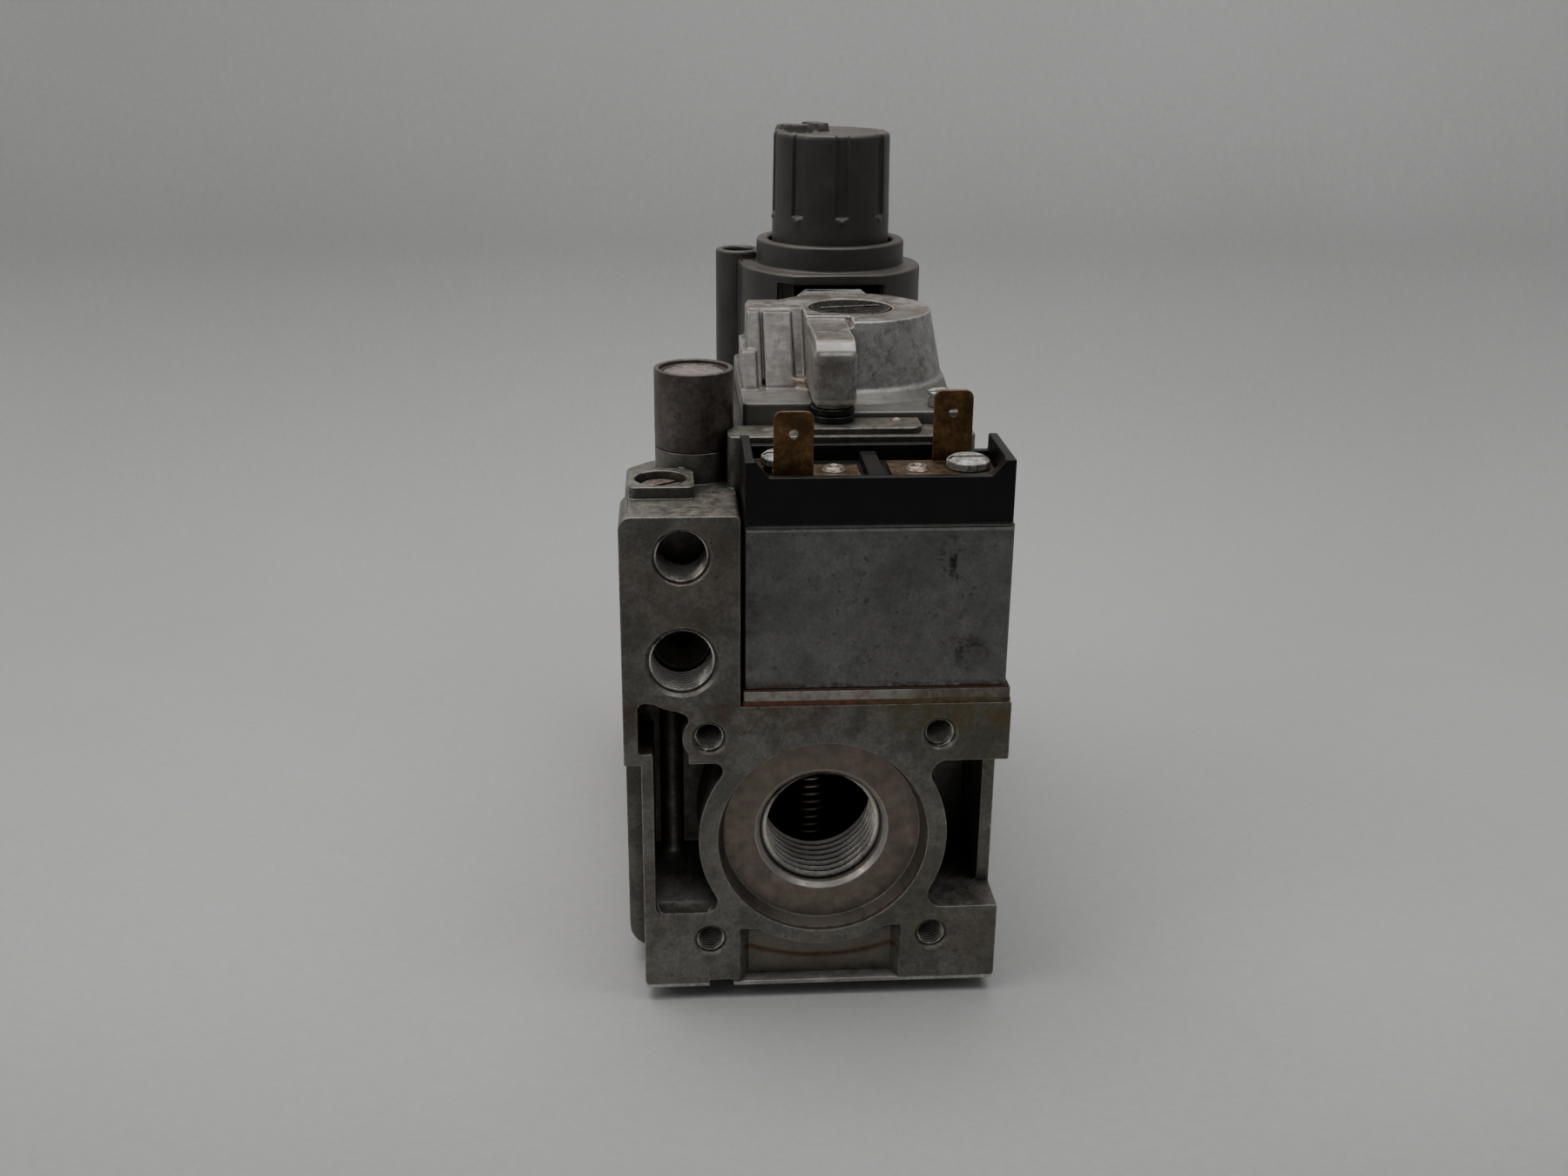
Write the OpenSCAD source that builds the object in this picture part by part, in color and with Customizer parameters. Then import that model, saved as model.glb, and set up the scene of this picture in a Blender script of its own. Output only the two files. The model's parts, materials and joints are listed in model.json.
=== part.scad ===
// Gas valve: a die-cast body with threaded ports, an electric solenoid with a
// terminal block, a pressure regulator, a push-and-turn knob and a pilot section.
// Millimetres. Origin: centre of the outlet port on the outlet flange face.
// +Y runs from the outlet flange to the inlet flange, +Z is up.

/* [Body] */
// Distance between the outlet and inlet flange faces
body_len = 115; // [112:1:120]
// Half width of the outlet and inlet flanges
flange_hw = 30.2; // [30:0.1:31]
// Height of the flange's upper edge above the port centre
flange_top = 24.5; // [24:0.1:24.5]
// Depth of the flange's lower edge below the port centre
flange_bot = 27.3; // [27.3:0.1:28]
// Half spacing of the square of flange bolts
bolt_half = 19; // [18.5:0.25:19.5]
// Radius of the flange bolt holes
bolt_r = 2.5; // [2.4:0.05:2.6]
// Thread radius of the main ports
port_r = 10.48; // [10.3:0.02:10.5]
// Depth of the recess round each main port
port_recess = 3.3; // [3:0.1:3.5]
// Thread radius of the pilot gas outlet
pilot_r = 5.5; // [5.4:0.05:5.5]
// Thread radius of the thermocouple port
thermo_r = 4.5; // [4.4:0.05:4.5]

/* [Solenoid] */
// Width of the coil bracket
coil_w = 42.7; // [42:0.1:43]
// Height of the coil bracket
coil_h = 28; // [27.5:0.1:28]
// Height of the terminal blades above the terminal deck
blade_h = 12; // [10:0.5:13]

/* [Knob] */
// Radius of the knob at its foot
knob_r = 11.6; // [11.2:0.1:11.7]
// Number of flutes round the knob
knob_flutes = 8; // [6:1:10]
// Radius of the knob cover
cover_r = 17.9; // [17.5:0.1:18]

/* [Regulator] */
// Radius of the regulator dome at its foot
dome_r = 17; // [16.5:0.1:17]
// Radius of the regulator cap
cap_r = 7.2; // [7:0.1:7.2]

/* [Hidden] */
e = 0.1;                       // overlap of cutting bodies
kx = 7.6; ky = 86;             // knob axis
rx = 8;   ry = 50;             // regulator axis
tx = -20.6; ty = 27;           // power unit axis
mx = 0;   my = 27;             // main valve axis
cx = 8.1; cy = 8.75;           // solenoid axis
ax = -26.3; ay = 15;           // pilot adjuster axis
wx = -10.3; wy = 92;           // cover screw axis
pz = 32.4; px = -23.3;         // pilot outlet centre
hz = 50.2; hx = -23.2;         // thermocouple port centre
cw0 = -13.2; cz0 = 27.3;       // coil bracket's left edge and foot
deck = 61.5;                   // terminal deck height
cover_screw_xy = [[-26.5, 24], [-26.5, 60], [-26.5, 96], [25, 24], [25, 60], [25, 96]];
coil_screw_xy = [[-6.7, 11.3, 15.5], [22.9, 8, 21.8]];
reg_screw_xy = [[-8.6, 63.6, 68.4], [22.4, 64.4, 68.4], [22.3, 30, 66.9]];
metal = [0.62, 0.62, 0.60];

// ---- outlines ----
function un(v) = v / norm(v);
function fillet(a, b, c, r, n = 6) =
  let (u = un(a - b), v = un(c - b), k = u * v)
  (r <= 0 || abs(k) > 0.999) ? [b] :
  let (h = acos(k) / 2, d = r / tan(h), m = un(u + v), o = b + m * (r / sin(h)),
       p = b + u * d - o, q = b + v * d - o,
       a0 = atan2(p[1], p[0]), da = ((atan2(q[1], q[0]) - a0 + 540) % 360) - 180)
  [for (i = [0 : n]) o + r * [cos(a0 + da * i / n), sin(a0 + da * i / n)]];
// Rounds each corner of [[x, y, radius], ...]
function rounded(p, n = 6) = [for (i = [0 : len(p) - 1])
  let (a = p[(i + len(p) - 1) % len(p)], b = p[i], c = p[(i + 1) % len(p)])
  each fillet([a[0], a[1]], [b[0], b[1]], [c[0], c[1]], b[2], n)];
module plan(p, z0, z1) translate([0, 0, z0]) linear_extrude(z1 - z0) polygon(rounded(p));
module face(p, y0, y1) translate([0, y1, 0]) rotate([90, 0, 0]) linear_extrude(y1 - y0) polygon(rounded(p));
module box(a, b) translate(a) cube(b - a);
module cylz(x, y, z0, z1, r) translate([x, y, z0]) cylinder(h = z1 - z0, r = r, $fn = 64);
module conez(x, y, z0, z1, r0, r1) translate([x, y, z0]) cylinder(h = z1 - z0, r1 = r0, r2 = r1, $fn = 64);
module cyly(x, z, y0, y1, r) translate([x, y1, z]) rotate([90, 0, 0]) cylinder(h = y1 - y0, r = r, $fn = 64);
module coney(x, z, y0, y1, r0, r1) translate([x, y1, z]) rotate([90, 0, 0]) cylinder(h = y1 - y0, r1 = r1, r2 = r0, $fn = 64);
module ring(x, y, z0, z1, r0, r1) difference() { cylz(x, y, z0, z1, r1); cylz(x, y, z0 - 1, z1 + 1, r0); }
// Helical wire between two heights
module wire_spring(x, y, z0, z1, r, w, turns, seg = 14, sides = 6) {
  n = floor(turns * seg);
  pts = [for (i = [0 : n]) let (a = i * 360 / seg, z = z0 + w / 2 + (z1 - z0 - w) * i / n)
    for (k = [0 : sides - 1]) let (b = k * 360 / sides)
      [(r + w / 2 * cos(b)) * cos(a), (r + w / 2 * cos(b)) * sin(a), z + w / 2 * sin(b)]];
  fcs = concat([[for (k = [0 : sides - 1]) sides - 1 - k]],
    [[for (k = [0 : sides - 1]) n * sides + k]],
    [for (i = [0 : n - 1]) for (k = [0 : sides - 1]) let (j = (k + 1) % sides)
      [i * sides + k, i * sides + j, (i + 1) * sides + j]],
    [for (i = [0 : n - 1]) for (k = [0 : sides - 1]) let (j = (k + 1) % sides)
      [i * sides + k, (i + 1) * sides + j, (i + 1) * sides + k]]);
  translate([x, y, 0]) polyhedron(points = pts, faces = fcs, convexity = 8);
}

// ---- casting ----
module main_port(y0, s) {
  // s = 1: the face looks to -Y; s = -1: the face looks to +Y
  translate([0, y0, 0]) scale([1, 1, 1]) mirror([0, s < 0 ? 1 : 0, 0]) {
    cyly(0, 0, -1, 1, 17.6);
    coney(0, 0, 0.99, port_recess, 17.6, 16.7);
    coney(0, 0, port_recess - 0.01, port_recess + 0.9, 11.3, port_r);
    cyly(0, 0, port_recess, 17.6, port_r);
    for (x = [-1, 1], z = [-1, 1]) {
      if (s > 0) cyly(x * bolt_half, z * bolt_half, -1, 12, bolt_r);
      else face([for (k = [0 : 47]) [x * bolt_half + bolt_r * cos(k * 7.5), z * bolt_half + bolt_r * sin(k * 7.5), 0]], -1, 12);
      coney(x * bolt_half, z * bolt_half, -0.2, 0.5, bolt_r + 0.7, bolt_r - 0.02);
      coney(x * bolt_half, z * bolt_half, 11.99, 13.3, bolt_r - 0.02, 0.2);
    }
  }
}
// Rounds the cusp where a pocket's wall runs into the port's ring
module cusp(p, x, z, r) difference() { face(p, -3, 30); cyly(x, z, -4, 31, r); }
module side_pockets() {
  difference() {
    union() {
      face([[-28.2, -13.5, 1.2], [-16, -13.5, 1], [-16, 14.4, 1], [-22.4, 14.4, 0], [-22.4, 23, 1.2], [-27, 25, 1.5], [-30.6, 25.6, 1.2],
            [-30.6, 16.3, 0.6], [-28.2, 16.3, 0.4]], -1, 13.5);
    }
    cyly(0, 0, -2, 16, 20.9);
    cyly(-bolt_half, bolt_half, -2, 16, 4.4);
    cyly(px, pz, -2, 16, 8.6);
    cusp([[-18.31, 14.5, 0], [-14, 14.5, 0], [-14, 11, 0], [-17.09, 12.04, 0]], -18.31, 12.9, 1.5);
    cusp([[-19.8, -13.6, 0], [-15, -13.6, 0], [-15, -9.5, 0], [-18.07, -10.5, 0]], -19.8, -11.5, 2);
    // rounded cast column on the pocket's back wall
    translate([-25.2, 13.3, 0]) cylz(0, 0, -12.5, 26, 1.9);
    // sloping floor
    translate([0, 0, -13.55]) rotate([26, 0, 0]) translate([-40, 0, -12]) cube([80, 30, 12]);
  }
  difference() {
    union() {
      face([[16, -13.6, 0], [34, -13.6, 0], [34, 14.1, 0], [24, 14.1, 0], [16, 14.1, 0]], -1, 8.5);
      face([[20, -13.6, 1], [28, -13.6, 1], [28, 14.1, 1], [20, 14.1, 1]], 8.4, 26);
    }
    cyly(0, 0, -2, 27, 20.9);
    cyly(bolt_half, bolt_half, -2, 13, 4.4);
    cusp([[20.5, 14.2, 0], [15, 14.2, 0], [15, 9, 0], [18.23, 10.23, 0]], 20.5, 11.5, 2.6);
    cusp([[20.6, -13.7, 0], [15, -13.7, 0], [15, -9, 0], [18.4, -9.9, 0]], 20.6, -11.1, 2.5);
  }
  difference() {
    face([[-13.9, -29, 0], [13.6, -29, 0], [13.6, -17, 0], [-13.9, -17, 0]], -1, 2.6);
    cyly(0, 0, -2, 7, 20.2);
    plan([[-13.95, 0, 0], [-12.2, 2.8, 0], [-14.6, 2.8, 0], [-14.6, 0, 0]], -30, -16);
    plan([[13.65, 0, 0], [12, 2.8, 0], [14.4, 2.8, 0], [14.4, 0, 0]], -30, -16);
  }
}
module valve_body() color(metal) difference() {
  union() {
    // outlet flange
    face([[-flange_hw, -flange_bot, 0.5], [flange_hw, -flange_bot, 0.5], [flange_hw, 14.1, 0], [30.6, 14.1, 0.3],
          [30.6, flange_top, 0.4], [-20, flange_top, 0], [-flange_hw, flange_top, 0]], 0, 12.5);
    // pilot block
    face([[-33, 14.3, 0.3], [-20, 14.3, 0], [-13.9, 20, 0], [-13.9, 56.9, 0.8], [-33, 56.9, 2]], 0, 12.5);
    // lower body
    face([[-33, -flange_bot, 4.5], [flange_hw, -flange_bot, 0.6], [flange_hw, 22.4, 1.5], [-33, 22.4, 3]], 12, body_len - 12);
    // inlet flange
    face([[-flange_hw, -flange_bot, 0.5], [flange_hw, -flange_bot, 0.5], [flange_hw, flange_top, 1.5],
          [-flange_hw, flange_top, 1.5]], body_len - 12.5, body_len);
    // pilot column, boss and power unit foot
    plan([[-32.2, 11, 0], [-14, 11, 0], [-14, 37, 3], [-27, 37, 6], [-32.2, 31, 4]], 20, 56);
    plan([[-31.5, 9.6, 1.2], [-20.9, 9.6, 1.2], [-20.9, 21, 3], [-31.5, 21, 3]], 54, 58.9);
    cylz(tx, ty, 50, 61.3, 6.65);
    // tall section that carries the regulator
    plan([[-15.2, 18, 1.5], [26, 18, 1.5], [26, 68.5, 2], [-15.2, 68.5, 2]], 20, 64);
    plan([[-15.2, 18, 1.5], [26, 18, 1.5], [26, 25.8, 0.4], [-15.2, 25.8, 0.4]], 63, 64.8);
    plan([[-3.2, 18.6, 1.5], [17.2, 18.6, 2.5], [17.2, 25.8, 0.4], [-3.2, 25.8, 0.4]], 64, 66);
    // rear section below the knob
    plan([[-15, 67, 0], [27, 67, 0], [27, 101, 4], [14, 105, 6], [-4, 105, 6], [-15, 99, 4]], 20, 54);
    intersection() {
      cylz(kx, ky, 50, 58, 18.4);
      box([kx - 20, 69.6, 49], [kx + 20, 110, 59]);
    }
    cylz(wx, wy, 50, 58, 5.2);
    // coil seat
    plan([[-13.9, 8, 0], [29.8, 8, 0], [29.8, 18.6, 0], [-13.9, 18.6, 0]], 12, flange_top);
  }
  main_port(0, 1);
  main_port(body_len, -1);
  side_pockets();
  // pilot outlet with its cone seat, thermocouple port
  cyly(px, pz, -1, 9, pilot_r);
  coney(px, pz, -0.3, 0.7, pilot_r + 0.9, pilot_r - 0.05);
  coney(px, pz, 8.9, 11.5, 4.6, 2);
  cyly(px, pz, 9, 16, 2);
  cyly(hx, hz, -1, 9.5, thermo_r);
  coney(hx, hz, -0.2, 0.4, thermo_r + 0.5, thermo_r - 0.05);
  cyly(-21.5, hz + 2.8, 9, 24, 1.4);
  // power unit cavity
  cylz(tx, ty, 36, 62, 5);
  // clearance for the power unit beside the tall section
  cylz(tx, ty, 61.3, 66, 6.8);
  // pilot adjuster
  cylz(ax, ay, 54.2, 60, 4.25);
  cylz(ax, ay, 40, 55, 1.65);
  cyly(ax, pz, 14, ay, 1.4);
  box([ax - 1.2, 14, pz - 1.2], [ax + 4, 16, pz + 1.2]);
  cylz(ax, ay, pz, 41, 1.2);
  // outlet chamber with the main valve seat
  difference() {
    plan([[-13, 17.4, 3], [13, 17.4, 3], [13, 41, 5], [-13, 41, 5]], -16, 12);
    ring(mx, my, -17, -15, 7.5, 9);
  }
  cylz(mx, my, -18.1, -15.5, 7.5);
  cylz(mx, my, -flange_bot - 1, -18, 14);
  cylz(mx, my, -flange_bot - 1, -26.3, 15.8);
  box([-6, 38, -25], [6, 58, -19]);
  box([-6, 47, -25], [6, 58, 24]);
  // upper gallery, safety valve seat, inlet chamber
  box([-6, 47, 18], [17, 95, 30]);
  cylz(kx, ky, 13, 19, 6);
  difference() {
    plan([[-13, 72, 3], [21, 72, 3], [21, 97.8, 3], [-13, 97.8, 3]], -12, 15);
    ring(kx, ky, 14, 16, 6, 7.4);
  }
  // spindle bore, cam journal, seal groove
  cylz(kx, ky, 29, 59, 3.06);
  cylz(kx, ky, 50, 59, 7.06);
  cylz(kx, ky, 40, 42, 4.6);
  // regulator recess
  cylz(rx, ry, 55, 65, 12);
  cylz(rx, ry, 63.2, 65, 15.2);
  cylz(rx, ry, 29, 56, 2);
  // solenoid seat
  difference() { cylz(cx, cy, 17, 26, 4.6); cylz(cx, cy, 16, 18.2, 1.5); }
  cylz(cx, cy, 15, 19, 0.6);
  cyly(cx, 16, cy, 19, 0.6);
  for (p = coil_screw_xy) cylz(p[0], p[1], p[2], 26, 1.95);
  for (p = cover_screw_xy) cylz(p[0], p[1], -flange_bot - 1, -19, 1.95);
  for (p = reg_screw_xy) cylz(p[0], p[1], 54, 66, 1.75);
  cylz(wx, wy, 46, 60, 1.65);
  // cover gasket groove
  difference() {
    plan([[-23, 12.5, 3], [21, 12.5, 3], [21, 100.5, 3], [-23, 100.5, 3]], -flange_bot - 1, -flange_bot + 0.5);
    plan([[-21, 14.5, 2], [19, 14.5, 2], [19, 98.5, 2], [-21, 98.5, 2]], -flange_bot - 2, -flange_bot + 1);
    cylz(mx, my, -flange_bot - 2, -flange_bot + 1, 17.5);
  }
  // notch in the lower edge of the face
  box([-19.2, -1, -28], [-15.1, 1.2, -26.9]);
}
module bottom_cover() color([0.66, 0.66, 0.65]) difference() {
  union() {
    plan([[-30.1, 0.05, 0.4], [30.1, 0.05, 0.4], [30.1, body_len - 0.6, 2], [-29.6, body_len - 0.6, 2], [-29.6, 13, 0], [-30.1, 13, 0]], -flange_bot - 0.8, -flange_bot);
    translate([0, 0, -flange_bot - 3.3]) linear_extrude(3) polygon(rounded([[-21, 14, 9], [19, 14, 9], [19, 97, 9], [-21, 97, 9]]));
  }
  cylz(mx, my, -flange_bot - 2.5, -flange_bot + 1, 14);
  box([-19.2, -1, -flange_bot - 2], [-15.1, 2.6, -flange_bot + 1]);
  plan([[-19.8, 46, 4], [17.8, 46, 4], [17.8, 95.5, 7], [-19.8, 95.5, 7]], -flange_bot - 2.5, -flange_bot + 1);
  for (p = cover_screw_xy) cylz(p[0], p[1], -flange_bot - 2, -flange_bot + 1, 2.2);
}
module bottom_gasket() color([0.72, 0.25, 0.12]) difference() {
  plan([[-22.8, 12.7, 2.8], [20.8, 12.7, 2.8], [20.8, 100.3, 2.8], [-22.8, 100.3, 2.8]], -flange_bot, -flange_bot + 0.5);
  plan([[-21.2, 14.3, 2.2], [19.2, 14.3, 2.2], [19.2, 98.7, 2.2], [-21.2, 98.7, 2.2]], -flange_bot - 1, -flange_bot + 1);
  cylz(mx, my, -flange_bot - 2, -flange_bot + 1, 17.7);
}
module bottom_cover_screws() color([0.70, 0.69, 0.64]) for (p = cover_screw_xy) difference() {
  union() {
    cylz(p[0], p[1], -flange_bot - 2.4, -flange_bot - 0.8, 3.4);
    cylz(p[0], p[1], -flange_bot - 1, -20, 1.9);
  }
  box([p[0] - 4, p[1] - 0.5, -flange_bot - 3], [p[0] + 4, p[1] + 0.5, -flange_bot - 1.7]);
}
module inlet_filter() color([0.75, 0.75, 0.72]) difference() {
  cyly(0, 0, 94.6, 96.6, 10.4);
  cyly(0, 0, 95.4, 97, 9.2);
  for (a = [0 : 45 : 315]) cyly(6.2 * cos(a), 6.2 * sin(a), 94, 97, 1.6);
  cyly(0, 0, 94, 97, 2.2);
}

// ---- solenoid ----
module coil_bracket() color([0.60, 0.62, 0.64]) difference() {
  face([[cw0, cz0, 0.6], [cw0 + coil_w, cz0, 0.6], [cw0 + coil_w, cz0 + coil_h, 0.6], [cw0, cz0 + coil_h, 0.6]], 0.5, 17);
  box([cw0 - 1, 2, cz0 + 1.6], [cw0 + coil_w + 1, 15.5, cz0 + coil_h - 1.6]);
  cylz(cx, cy, cz0 - 1, cz0 + 3, 4.6);
  for (p = coil_screw_xy) cylz(p[0], p[1], cz0 - 1, cz0 + coil_h + 1, 2.2);
}
module coil_winding() color([0.10, 0.10, 0.11]) difference() {
  union() {
    box([cw0 + 0.5, 2.1, cz0 + 1.7], [cw0 + coil_w - 0.5, 15.4, cz0 + 4]);
    box([cw0 + 0.5, 2.1, cz0 + coil_h - 4], [cw0 + coil_w - 0.5, 15.4, cz0 + coil_h - 1.7]);
    plan([[cw0 + 1.2, 2.3, 3], [cw0 + coil_w - 1.2, 2.3, 3], [cw0 + coil_w - 1.2, 15.2, 3], [cw0 + 1.2, 15.2, 3]], cz0 + 3, cz0 + coil_h - 3);
  }
  cylz(cx, cy, cz0, cz0 + coil_h, 4.6);
  for (p = coil_screw_xy) cylz(p[0], p[1], cz0, cz0 + coil_h, 2.2);
}
module core_tube() color([0.72, 0.66, 0.42]) difference() {
  union() {
    cylz(cx, cy, 20, 52.8, 4.5);
    cylz(cx, cy, 20, 21, 4.55);
  }
  cylz(cx, cy, 19, 43.5, 4);
}
module coil_plate() color([0.86, 0.85, 0.80]) difference() {
  plan([[-13.4, 0.2, 0.5], [30.3, 0.2, 0.5], [30.3, 17.3, 0.5], [-13.4, 17.3, 0.5]], 25.3, 27);
  cylz(cx, cy, 24, 28, 4.6);
  for (p = coil_screw_xy) cylz(p[0], p[1], 24, 28, 2.2);
}
module coil_gaskets() color([0.72, 0.26, 0.12]) difference() {
  union() {
    plan([[-13.6, 0.1, 0.5], [30.4, 0.1, 0.5], [30.4, 17.4, 0.5], [-13.6, 17.4, 0.5]], 24.5, 25.3);
    plan([[-13.4, 0.3, 0.5], [30.1, 0.3, 0.5], [30.1, 17.2, 0.5], [-13.4, 17.2, 0.5]], 27, 27.3);
  }
  cylz(cx, cy, 24, 28, 4.6);
  for (p = coil_screw_xy) cylz(p[0], p[1], 24, 28, 2.2);
}
module terminal_block() color([0.10, 0.10, 0.10]) difference() {
  union() {
    box([-13.3, 0, 55.3], [29.1, 16.5, deck - 0.1]);
    box([-13.3, 0, 60], [29.1, 1.6, 63]);
    box([-13.3, 15, 60], [18.2, 16.5, 64.2]);
    box([18, 15, 60], [29.1, 16.5, 63]);
    for (x = [-13.3, 27.6]) translate([x, 0, 0]) box([0, 0, 60], [1.5, 16.5, 65.6]);
    // corner posts with a sloping top
    for (s = [0, 1]) translate([s * 15.8, 0, 0]) mirror([s, 0, 0]) face([[-13.3, 60, 0], [-9.4, 60, 0], [-9.4, 62.8, 0], [-11.6, 65.6, 0], [-13.3, 65.6, 0.3]], 0, 1.9);
    box([6.2, 1, 60], [8.9, 15.6, 62.9]);
  }
  for (p = coil_screw_xy) cylz(p[0], p[1], 54, 62, 2.2);
}
module blade(x0, x1, y0, z1, r = 1.3) {
  // spade blade with corners cut and a locking hole
  difference() {
    translate([0, y0, 0]) face([[x0, deck, 0], [x1, deck, 0], [x1, z1, r], [x0, z1, r]], 0, 0.8);
    translate([0, y0, 0]) cyly((x0 + x1) / 2, z1 - 3.6, -1, 2, 0.75);
  }
}
module terminal_left() color([0.50, 0.36, 0.20]) {
  blade(-8.6, -2.3, 4, deck + blade_h - 1);
  difference() {
    plan([[-8.6, 4, 0.4], [5.2, 4, 0.4], [5.2, 10.4, 0.4], [-2.4, 10.4, 0.4], [-2.4, 14.6, 0.6], [-11.4, 14.6, 0.6], [-11.4, 9.4, 0.4], [-8.6, 9.4, 0]], deck, deck + 0.7);
    cylz(1.2, 7.2, 59, 63, 1.25);
    cylz(-6.7, 11.3, 59, 63, 2.2);
  }
}
module terminal_right() color([0.50, 0.36, 0.20]) {
  blade(17.7, 24.0, 11.6, deck + blade_h + 0.4);
  difference() {
    plan([[10.2, 4, 0.4], [27, 4, 0.4], [27, 12.4, 0.4], [10.2, 12.4, 0.4]], deck, deck + 0.7);
    cylz(14.6, 7.2, 59, 63, 1.25);
    cylz(22.9, 8, 59, 63, 2.2);
  }
}
module terminal_rivets() color([0.62, 0.56, 0.46]) for (x = [1.2, 14.6]) difference() {
  union() {
    cylz(x, 7.2, deck - 0.09, deck + 0.8, 1.2);
    conez(x, 7.2, deck + 0.7, deck + 1.4, 2.1, 1.5);
  }
  conez(x, 7.2, deck + 0.9, deck + 1.5, 0.5, 1.0);
}
module coil_screws() color([0.72, 0.73, 0.70]) for (p = coil_screw_xy) difference() {
  union() {
    cylz(p[0], p[1], deck + 0.75, deck + 2, 3.5);
    conez(p[0], p[1], deck + 2, deck + 2.6, 3.5, 2.6);
    cylz(p[0], p[1], p[2] + 0.4, deck + 1, 1.9);
  }
  box([p[0] - 4, p[1] - 0.5, deck + 1.9], [p[0] + 4, p[1] + 0.5, deck + 4]);
}
module solenoid_plunger() color([0.62, 0.62, 0.64]) difference() {
  cylz(cx, cy, 19.9, 40, 3.93);
  cylz(cx, cy, 38, 41, 2.2);
  box([cx - 0.6, cy + 2.6, 19], [cx + 0.6, cy + 5, 41]);
}
module plunger_seal() color([0.08, 0.08, 0.08]) cylz(cx, cy, 18.3, 19.9, 2.8);
module plunger_spring() color([0.75, 0.75, 0.75]) wire_spring(cx, cy, 38.05, 43.4, 1.6, 0.5, 4.5, 12, 6);

// ---- regulator ----
// A YZ outline drawn out along X
module side(p, x0, x1) translate([x0, 0, 0]) rotate([90, 0, 90]) linear_extrude(x1 - x0) polygon(p);
module regulator_housing() color([0.66, 0.65, 0.62]) difference() {
  union() {
    plan([[-12.4, 26, 1.2], [1.5, 26, 0], [1.5, 67.5, 0], [-12.4, 67.5, 3.5]], 64.05, 68.4);
    plan([[1.5, 26, 0], [25.3, 26, 1.5], [25.3, 56, 0], [1.5, 56, 0]], 64.05, 66.9);
    plan([[1.5, 56, 0], [25.3, 56, 0], [25.3, 67.5, 3.5], [1.5, 67.5, 0]], 64.05, 68.4);
    // dome with a flared foot, its left front cut back on a slope
    difference() {
      union() {
        conez(rx, ry, 66, 80.3, 17.2, 14.3);
        intersection() {
          conez(rx, ry, 66, 69, 20, 16.6);
          box([-12.2, 28, 65], [24.9, 67.2, 69.5]);
        }
      }
      side([[25, 70], [40.8, 70], [52.8, 82], [25, 82]], -13, -0.7);
      box([-1.3, 30, 79.3], [7.1, 41.4, 82]);
    }
    // front vent boss, its bevelled head and the bridge to the dome
    plan([[-0.85, 21.1, 1.2], [6.3, 21.1, 1.2], [6.3, 38, 0], [-0.85, 38, 0]], 69.2, 77.6);
    cylz(2.72, 24.7, 68, 70, 3.2);
    side([[21.5, 76.5], [21.5, 78.2], [22.8, 79.4], [25.5, 79.9], [41.2, 79.6], [41.2, 75], [24, 75]], -0.6, 6.05);
    // block at the left that carries the panel and the rib
    side([[39.4, 67.5], [39.4, 69.6], [50, 80.2], [58, 80.2], [58, 67.5]], -10.2, 1);
    side([[36.8, 67.5], [36.8, 68.8], [38, 70], [47.8, 79.8], [55, 79.8], [55, 67.5]], -7.9, -2.9);
    side([[37.4, 67.5], [37.4, 68.8], [48.4, 79.8], [57, 79.8], [57, 67.5]], -10.7, -8.5);
    side([[36.2, 67.5], [36.2, 68.9], [41.4, 74.1], [56.5, 74.1], [56.5, 67.5]], -11.8, -9.4);
  }
  // spring chamber and threaded neck
  cylz(rx, ry, 63, 66, 12);
  cylz(rx, ry, 65.9, 77, 8.2);
  cylz(rx, ry, 70.4, 81, 5.97);
  cylz(rx, ry, 79, 81, cap_r + 0.35);
  for (p = reg_screw_xy) cylz(p[0], p[1], 63, 70, 1.95);
  // seal ring under the vent boss
  cylz(2.6, 24.7, 63, 68.4, 3.85);
}
module regulator_screws() color([0.70, 0.69, 0.64]) for (p = reg_screw_xy) difference() {
  union() {
    cylz(p[0], p[1], p[2], p[2] + 2.6, 2.75);
    cylz(p[0], p[1], 56, p[2] + 0.1, 1.7);
  }
  box([p[0] - 4, p[1] - 0.45, p[2] + 1.7], [p[0] + 4, p[1] + 0.45, p[2] + 4]);
}
module regulator_seal_ring() color([0.08, 0.08, 0.08]) difference() {
  cylz(2.6, 24.7, 66.02, 68.38, 3.75);
  cylz(2.6, 24.7, 65, 69, 1.2);
  ring(2.6, 24.7, 67.1, 67.4, 3.4, 6);
}
module regulator_cap() color([0.60, 0.58, 0.55]) difference() {
  union() {
    cylz(rx, ry, 79.1, 80.3, cap_r);
    cylz(rx, ry, 74.2, 79.2, 5.9);
  }
  translate([rx, ry, 0]) rotate([0, 0, 12]) box([-5.4, -0.8, 79.3], [5.4, 0.8, 82]);
  cylz(rx, ry, 73, 78, 4);
}
module regulator_adjuster() color([0.85, 0.84, 0.78]) difference() {
  union() {
    cylz(rx, ry, 70.6, 73.6, 5.9);
  }
  cylz(rx, ry, 70, 71.6, 4.9);
  box([rx - 4, ry - 0.7, 72.6], [rx + 4, ry + 0.7, 75]);
}
module regulator_spring() color([0.75, 0.75, 0.75]) wire_spring(rx, ry, 64.7, 71.55, 4.1, 0.8, 4, 16, 6);
module regulator_diaphragm() color([0.12, 0.12, 0.12]) difference() {
  cylz(rx, ry, 63.22, 64.05, 15.1);
  ring(rx, ry, 62, 63.6, 9.2, 11);
}
module regulator_plate() color([0.66, 0.66, 0.64]) difference() {
  cylz(rx, ry, 64.05, 65.9, 6.4);
  cylz(rx, ry, 64.65, 67, 5.6);
}

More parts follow.
